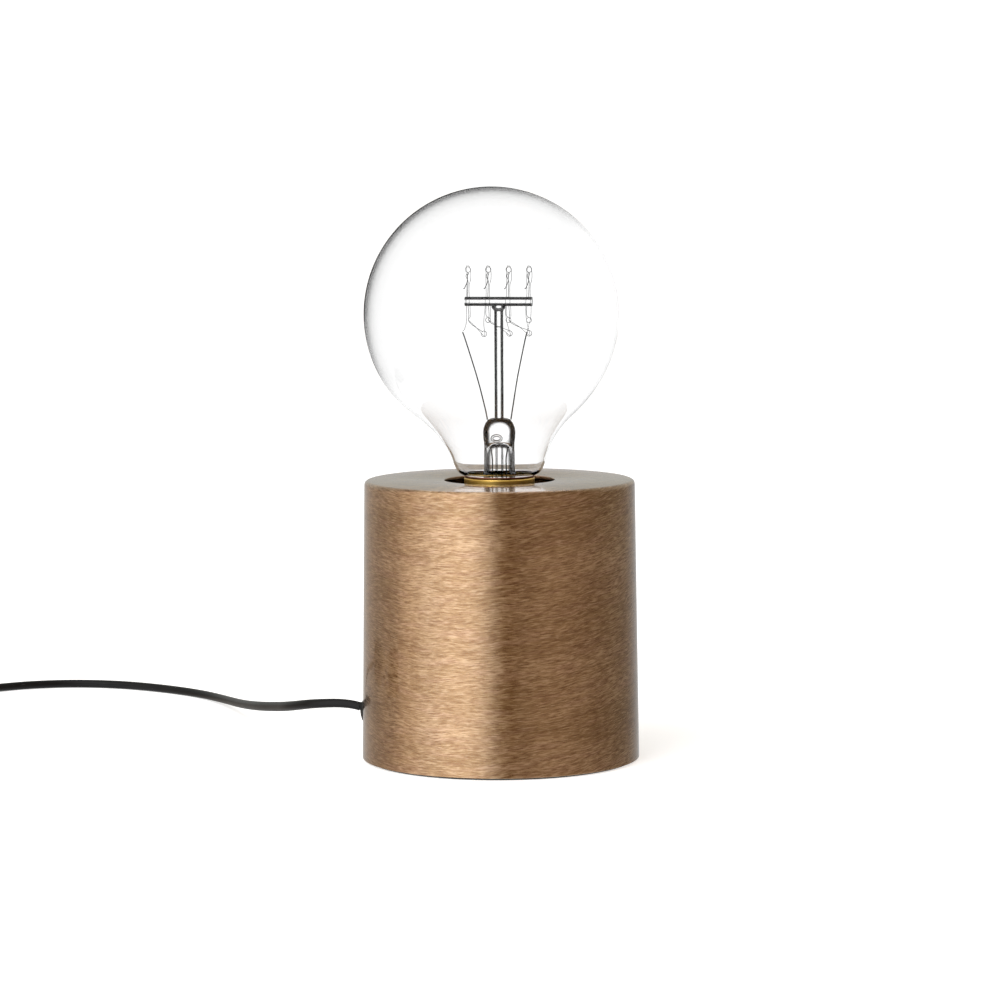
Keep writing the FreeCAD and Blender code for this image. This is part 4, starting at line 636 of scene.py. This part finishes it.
def tube(points, thickness, steps=10):
    """Rows of a round wire along a smooth path through the points, which are (x, y, z). Each run is a
    cubic whose slopes at its ends are those of its neighbours' chords; each ring lies square to it."""
    corners = np.array(points, dtype=float)
    slopes = np.gradient(corners, axis=0)
    share = np.linspace(0, 1, 6, endpoint=False)[:, None]
    run = [start + (stop - start) * share * share * (3 - 2 * share)
           + share * (1 - share) ** 2 * leave - share * share * (1 - share) * arrive
           for start, stop, leave, arrive in zip(corners, corners[1:], slopes, slopes[1:])]
    path = np.concatenate(run + [corners[-1:]])
    heading = np.gradient(path, axis=0)
    heading /= np.linalg.norm(heading, axis=1, keepdims=True)
    side = np.cross(heading, (0.08, 1.0, 0.05))
    side /= np.linalg.norm(side, axis=1, keepdims=True)
    over = np.cross(side, heading)
    turn = np.linspace(0, 2 * np.pi, steps, endpoint=False)[None, :, None]
    ring = side[:, None] * np.cos(turn) - over[:, None] * np.sin(turn)
    return path[:, None] + ring * thickness / 2


def ring_points(x, y, z, radius, start, stop, steps):
    """Points of an upright ring that faces the crossbar's front, between two angles in degrees. The
    crossbar is turned nine degrees, of which 0.988 and 0.156 are the cosine and the sine."""
    turn = np.radians(np.linspace(start, stop, steps))
    across = radius * np.cos(turn)
    points = np.column_stack([x + across * 0.988, y - across * 0.156, z + radius * np.sin(turn)])
    return [tuple(point) for point in points]


nickel = small_metal("nickel_wire", (0.02, 0.02, 0.019), (0.07, 0.07, 0.067))
tungsten = small_metal("tungsten", (0.012, 0.012, 0.013), (0.05, 0.05, 0.052))

pinch = 127.6
lead, eyelet, clasp, tail, spun = 0.5, 0.22, 0.3, 0.2, 0.17  # the wires' thicknesses
leads = [
    [(-4.4, 0, pinch), (-5.3, -0.2, 132), (-8.2, -1.4, 143.5), (-12.3, -2.6, 157), (-13.4, -3.0, 160.2)],
    [(4.4, 0, pinch), (5.1, 0.3, 132), (7.0, 1.5, 143.5), (9.7, 2.6, 156.5), (10.6, 3.0, 159.9)],
    [(-3.4, 0, 117.9), (-2.6, 0.2, 112), (-3.0, 0, 98), (-3.6, 0, 85.2)],
    [(3.4, 0, 117.9), (2.5, 0.3, 112), (3.1, 0, 98), (3.6, 0, 85.2)],
]
lead_wires = skin("leads", [tube(points, lead) for points in leads])
dress(lead_wires, "bulb", "nickel_wire", nickel, "lead_wires")

columns = [(-11.36, 1.8), (-3.79, 0.6), (3.79, -0.6), (11.36, -1.8)]
hooks = [(-5.5, -4.0, 159.6), (4.0, 5.0, 159.2), (11.3, 5.0, 159.2)]
support_rows = []
for x, y in columns:
    stalk = [(x - 0.2, y, 173.0), (x - 0.15, y, 174.6), (x - 0.05, y, 176.9), (x + 0.05, y, 178.7),
             (x - 0.35, y, 179.8), (x - 0.72, y, 180.9), (x - 0.25, y, 181.9)]
    support_rows.append(tube(stalk + ring_points(x, y, 183.2, 1.0, 250, -110, 12), eyelet))
    back = [(x + 0.25, y, 182.0), (x - 0.1, y, 181.0), (x - 0.2, y, 179.8), (x - 0.3, y, 178.6),
            (x - 1.3, y, 176.3), (x - 1.75, y, 176.2)]
    support_rows.append(tube(back, clasp))
for (x, y), (hook_x, hook_y, hook_z) in zip(columns, hooks):
    hang = [(x, y, 169.75), (x + 0.25, y, 166.5), (x + 0.3, y, 163.9),
            ((x + hook_x) / 2, (y + hook_y) / 2, 161.8), (hook_x - 0.6, hook_y, 160.5)]
    support_rows.append(tube(hang + ring_points(hook_x, hook_y, hook_z, 1.05, 130, -200, 9), tail))
for x, y in columns[1:]:
    hang = [(x - 0.9, y, 169.7), (x - 0.95, y, 166.4)]
    support_rows.append(tube(hang + ring_points(x - 0.15, y, 164.5, 0.95, 80, -260, 9), tail))
supports = skin("supports", support_rows)
dress(supports, "bulb", "nickel_wire", nickel, "support_wires")

# The filament's way: up behind the bar, through each eyelet, down again to the next hook.
behind_bar = 2.3
way = [(-13.4, -3.0, 160.6), (-12.75, -2.4, 161.2), (-12.0, 0.5, 164.0), (-12.0, 4.1, 168.5),
       (-11.9, 4.1, 174.5), (-11.6, 2.6, 180.5)]
for index, (x, y) in enumerate(columns):
    way += [(x - 0.6, y, 184.2), (x, y, 184.55), (x + 0.6, y, 184.2), (x + 1.05, y, 182.0),
            (x + 0.95, y, 179.4), (x + 0.45, y + 1.2, 177.4), (x + 0.4, y + behind_bar, 174.0),
            (x + 0.7, y + behind_bar, 169.2)]
    if index < len(hooks):
        hook_x, hook_y, hook_z = hooks[index]
        next_x, next_y = columns[index + 1]
        way += [(x + 0.75, y + 1.5, 165.7), (x + 0.2, y + 0.8, 164.4),
                (x + (hook_x - x) * 0.5, (y + hook_y) / 2, 161.9),
                (hook_x - 0.4, hook_y, hook_z - 0.35), (hook_x + 0.35, hook_y, hook_z - 0.3),
                (hook_x * 0.5 + next_x * 0.5 - 0.9, hook_y, 163.6),
                (next_x - 1.3, next_y + behind_bar, 168.9), (next_x - 0.85, next_y + behind_bar, 174.0),
                (next_x - 0.9, next_y + 0.7, 180.0)]
way += [(11.9, 1.5, 165.2), (11.2, 2.6, 162.5), (10.6, 3.0, 160.4)]
filament = skin("filament_wire", [tube(way, spun, 6)])
dress(filament, "bulb", "tungsten", tungsten, "filament")


# ---- The cord's way in. A domed rubber grommet snaps into the can's side; inside, the cord is held
# down by the clamp and rises through the bracket and the nipple into the holder.

give(moulded("grommet_rubber", (0.007, 0.007, 0.007), (0.014, 0.014, 0.014), 0.48, 0.3), "cord_grommet")


def radial(distance, height):
    """A point of the cord inside the can, this far from the axis on the side where the cord leaves."""
    turn = math.radians(172)
    return distance * math.cos(turn), distance * math.sin(turn), height


on_plate = 6.25
inner_cord = line("inner_cord", [[
    radial(53.35, 18.6), radial(44, 18.6), radial(36, 18.2), radial(30, 9.5), radial(26, on_plate),
    radial(17, on_plate), radial(8, on_plate), radial(2.2, 10.5), radial(0.5, 17), radial(0, 24.25),
    radial(0, 33), radial(0, 42),
]], cord_thickness)
dress(inner_cord, "lamp", "cord_black", cord_black, "cord_inside")


# ---- The switch on the cord. Two halves of black plastic on one parting line, a rocker in the upper
# one, and the contacts and joined cores inside.

switch_black = moulded("switch_black", (0.010, 0.010, 0.011), (0.020, 0.020, 0.021), 0.4, 0.45)
give(switch_black, "switch_lower", "switch_upper", "switch_rocker")
give(contact_brass, "switch_contacts", "switch_bridge")
give(zinc_steel, "switch_screws")
switch_cores = line("switch_cores", [
    [(-228.55, 129.7, 7.5), (-228.55, 125.2, 7.3), (-228.55, 120.7, 6.9), (-228.5, 117.0, 6.3),
     (-228.5, 113.75, 5.7)],
    [(-228.55, 80.3, 7.5), (-228.55, 84.8, 7.3), (-228.55, 89.3, 6.9), (-228.5, 93.0, 6.3),
     (-228.5, 96.25, 5.7)],
    [(-230.45, 80.3, 7.5), (-230.9, 87.3, 7.5), (-234.1, 96, 5.6), (-234.1, 105, 5.5), (-234.1, 114, 5.6),
     (-230.9, 122.7, 7.5), (-230.45, 129.7, 7.5)],
], 1.6)
dress(switch_cores, "lamp", "copper_wire", copper_wire, "switch_wires")


# ---- The plug and the tie. A flat two-pin plug is moulded on the cord's end, and a flat strap holds
# the coil's turns.

give(moulded("plug_black", (0.011, 0.011, 0.012), (0.021, 0.021, 0.022), 0.44, 0.45), "plug_body")
give(small_metal("pin_nickel", (0.50, 0.49, 0.46), (0.72, 0.70, 0.66)), "plug_pins")
give(moulded("tie_black", (0.014, 0.014, 0.015), (0.03, 0.03, 0.031), 0.5, 0.5), "cord_tie")


# ---- The stage. A plain white floor and a white studio with one broad soft light on the left. The
# photo's metal, glass and ground each show other surroundings, so the world tells them apart.

def studio_floor():
    """White floor to the eye; mirrored or through glass, the studio's light shows in its place."""
    material, tree = new_material("floor")[:2]
    path = add(tree, "LightPath")
    plain = add(tree, "BsdfDiffuse", {"Color": (0.86, 0.86, 0.86, 1)})
    glow = add(tree, "Emission", {"Color": (1, 1, 1, 1), "Strength": 0.62})
    lit = add(tree, "AddShader", {0: plain.outputs[0], 1: glow.outputs[0]})
    hidden = add(tree, "BsdfTransparent")
    passed = add(tree, "Math", {
        0: path.outputs["Is Glossy Ray"], 1: path.outputs["Is Transmission Ray"]}, operation="MAXIMUM")
    mixed = add(tree, "MixShader", {0: passed.outputs[0], 1: lit.outputs[0], 2: hidden.outputs[0]})
    finish_with(tree, mixed.outputs[0])
    return material


floor_mesh = bpy.data.meshes.new("floor")
floor_mesh.from_pydata([(-9, -6, 0), (9, -6, 0), (9, 12, 0), (-9, 12, 0)], [], [(0, 1, 2, 3)])
floor = bpy.data.objects.new("floor", floor_mesh)
floor_mesh.materials.append(studio_floor())
scene.collection.objects.link(floor)


def studio_world():
    """The camera and the light through glass see plain white. Metal shows a room whose colours go by
    the angle round the lamp from the front, left below zero, with plain grey high up behind the lamp
    and a pale floor below. Mirror-sharp reflections, which only glass has, show grey in front of the
    lamp, and behind it white that turns dark on the upper left."""
    world = bpy.data.worlds.new("studio")
    world.use_nodes = True
    tree = world.node_tree
    tree.nodes.clear()
    outward = add(tree, "TexCoord").outputs["Generated"]
    direction = add(tree, "SeparateXYZ", {0: outward})
    front = add(tree, "Math", {0: direction.outputs["Y"], 1: -1.0}, operation="MULTIPLY")
    angle = add(tree, "Math", {0: direction.outputs["X"], 1: front.outputs[0]}, operation="ARCTAN2")
    share = add(tree, "MapRange", {"Value": angle.outputs[0], "From Min": -math.pi, "From Max": math.pi})
    dark_warm, darkest_warm = (0.132, 0.083, 0.042), (0.114, 0.071, 0.036)
    by_angle = [
        (-180, 0.36), (-152, (0.27, 0.245, 0.22)), (-126, (0.255, 0.22, 0.19)), (-100, (0.36, 0.31, 0.27)),
        (-80, (0.56, 0.52, 0.47)), (-60, 0.80), (-44, 0.99), (-28, 0.99), (-15, 0.80), (-5, 0.32),
        (1, dark_warm), (9, darkest_warm), (18, (0.2, 0.158, 0.12)), (42, (0.235, 0.19, 0.15)),
        (66, (0.2, 0.16, 0.127)), (98, (0.14, 0.112, 0.088)), (132, (0.13, 0.112, 0.095)), (154, 0.2),
        (180, 0.36),
    ]
    round_room = ramp(tree, share.outputs["Result"], [
        ((turn + 180) / 360, colour) for turn, colour in by_angle])
    raised = add(tree, "MapRange", {"Value": direction.outputs["Z"], "From Min": 0.02, "From Max": 0.1})
    upper = add(tree, "Mix", {
        "Factor": raised.outputs["Result"], "A": round_room, "B": (0.296, 0.298, 0.277, 1)}, data_type="RGBA")
    hind = add(tree, "MapRange", {"Value": direction.outputs["Y"], "From Min": 0.0, "From Max": 0.3})
    behind = add(tree, "Mix", {
        "Factor": hind.outputs["Result"], "A": round_room, "B": upper.outputs["Result"]}, data_type="RGBA")
    bright = add(tree, "VectorMath", {0: behind.outputs["Result"], "Scale": 1.66}, operation="SCALE")
    below = add(tree, "MapRange", {
        "Value": direction.outputs["Z"], "From Min": -0.35, "From Max": -0.75},
        interpolation_type="SMOOTHSTEP")
    room = add(tree, "Mix", {
        "Factor": below.outputs["Result"], "A": bright.outputs[0], "B": (0.8, 0.8, 0.8, 1)}, data_type="RGBA")
    upper_left = add(tree, "VectorMath", {0: outward, 1: (-0.66, 0.0, 0.75)}, operation="DOT_PRODUCT")
    rim = add(tree, "MapRange", {
        "Value": upper_left.outputs["Value"], "From Min": -0.06, "From Max": 0.1,
        "To Min": 1.1, "To Max": 0.02})
    in_glass = add(tree, "Mix", {
        "Factor": hind.outputs["Result"], "A": (0.35, 0.35, 0.35, 1), "B": rim.outputs["Result"]},
        data_type="RGBA")
    path = add(tree, "LightPath")
    mirrored = add(tree, "Mix", {
        "Factor": path.outputs["Is Singular Ray"], "A": room.outputs["Result"],
        "B": in_glass.outputs["Result"]}, data_type="RGBA")
    seen = add(tree, "Math", {
        0: path.outputs["Is Camera Ray"], 1: path.outputs["Is Transmission Ray"]}, operation="MAXIMUM")
    shown = add(tree, "Mix", {
        "Factor": seen.outputs[0], "A": mirrored.outputs["Result"], "B": (1.1, 1.1, 1.1, 1)},
        data_type="RGBA")
    back = add(tree, "Background", {"Color": shown.outputs["Result"], "Strength": 1.0})
    add(tree, "OutputWorld", {"Surface": back.outputs[0]})
    return world


scene.world = studio_world()

lamp_light = bpy.data.lights.new("soft_light", "AREA")
lamp_light.size = 1.2
lamp_light.energy = 12
light = bpy.data.objects.new("soft_light", lamp_light)
light.location = (-0.6, -0.7, 1.5)
toward_lamp = Vector((0, 0, 0.1)) - Vector(light.location)
light.rotation_euler = toward_lamp.to_track_quat("-Z", "Y").to_euler()
light.visible_glossy = False
scene.collection.objects.link(light)

bpy.context.view_layer.update()
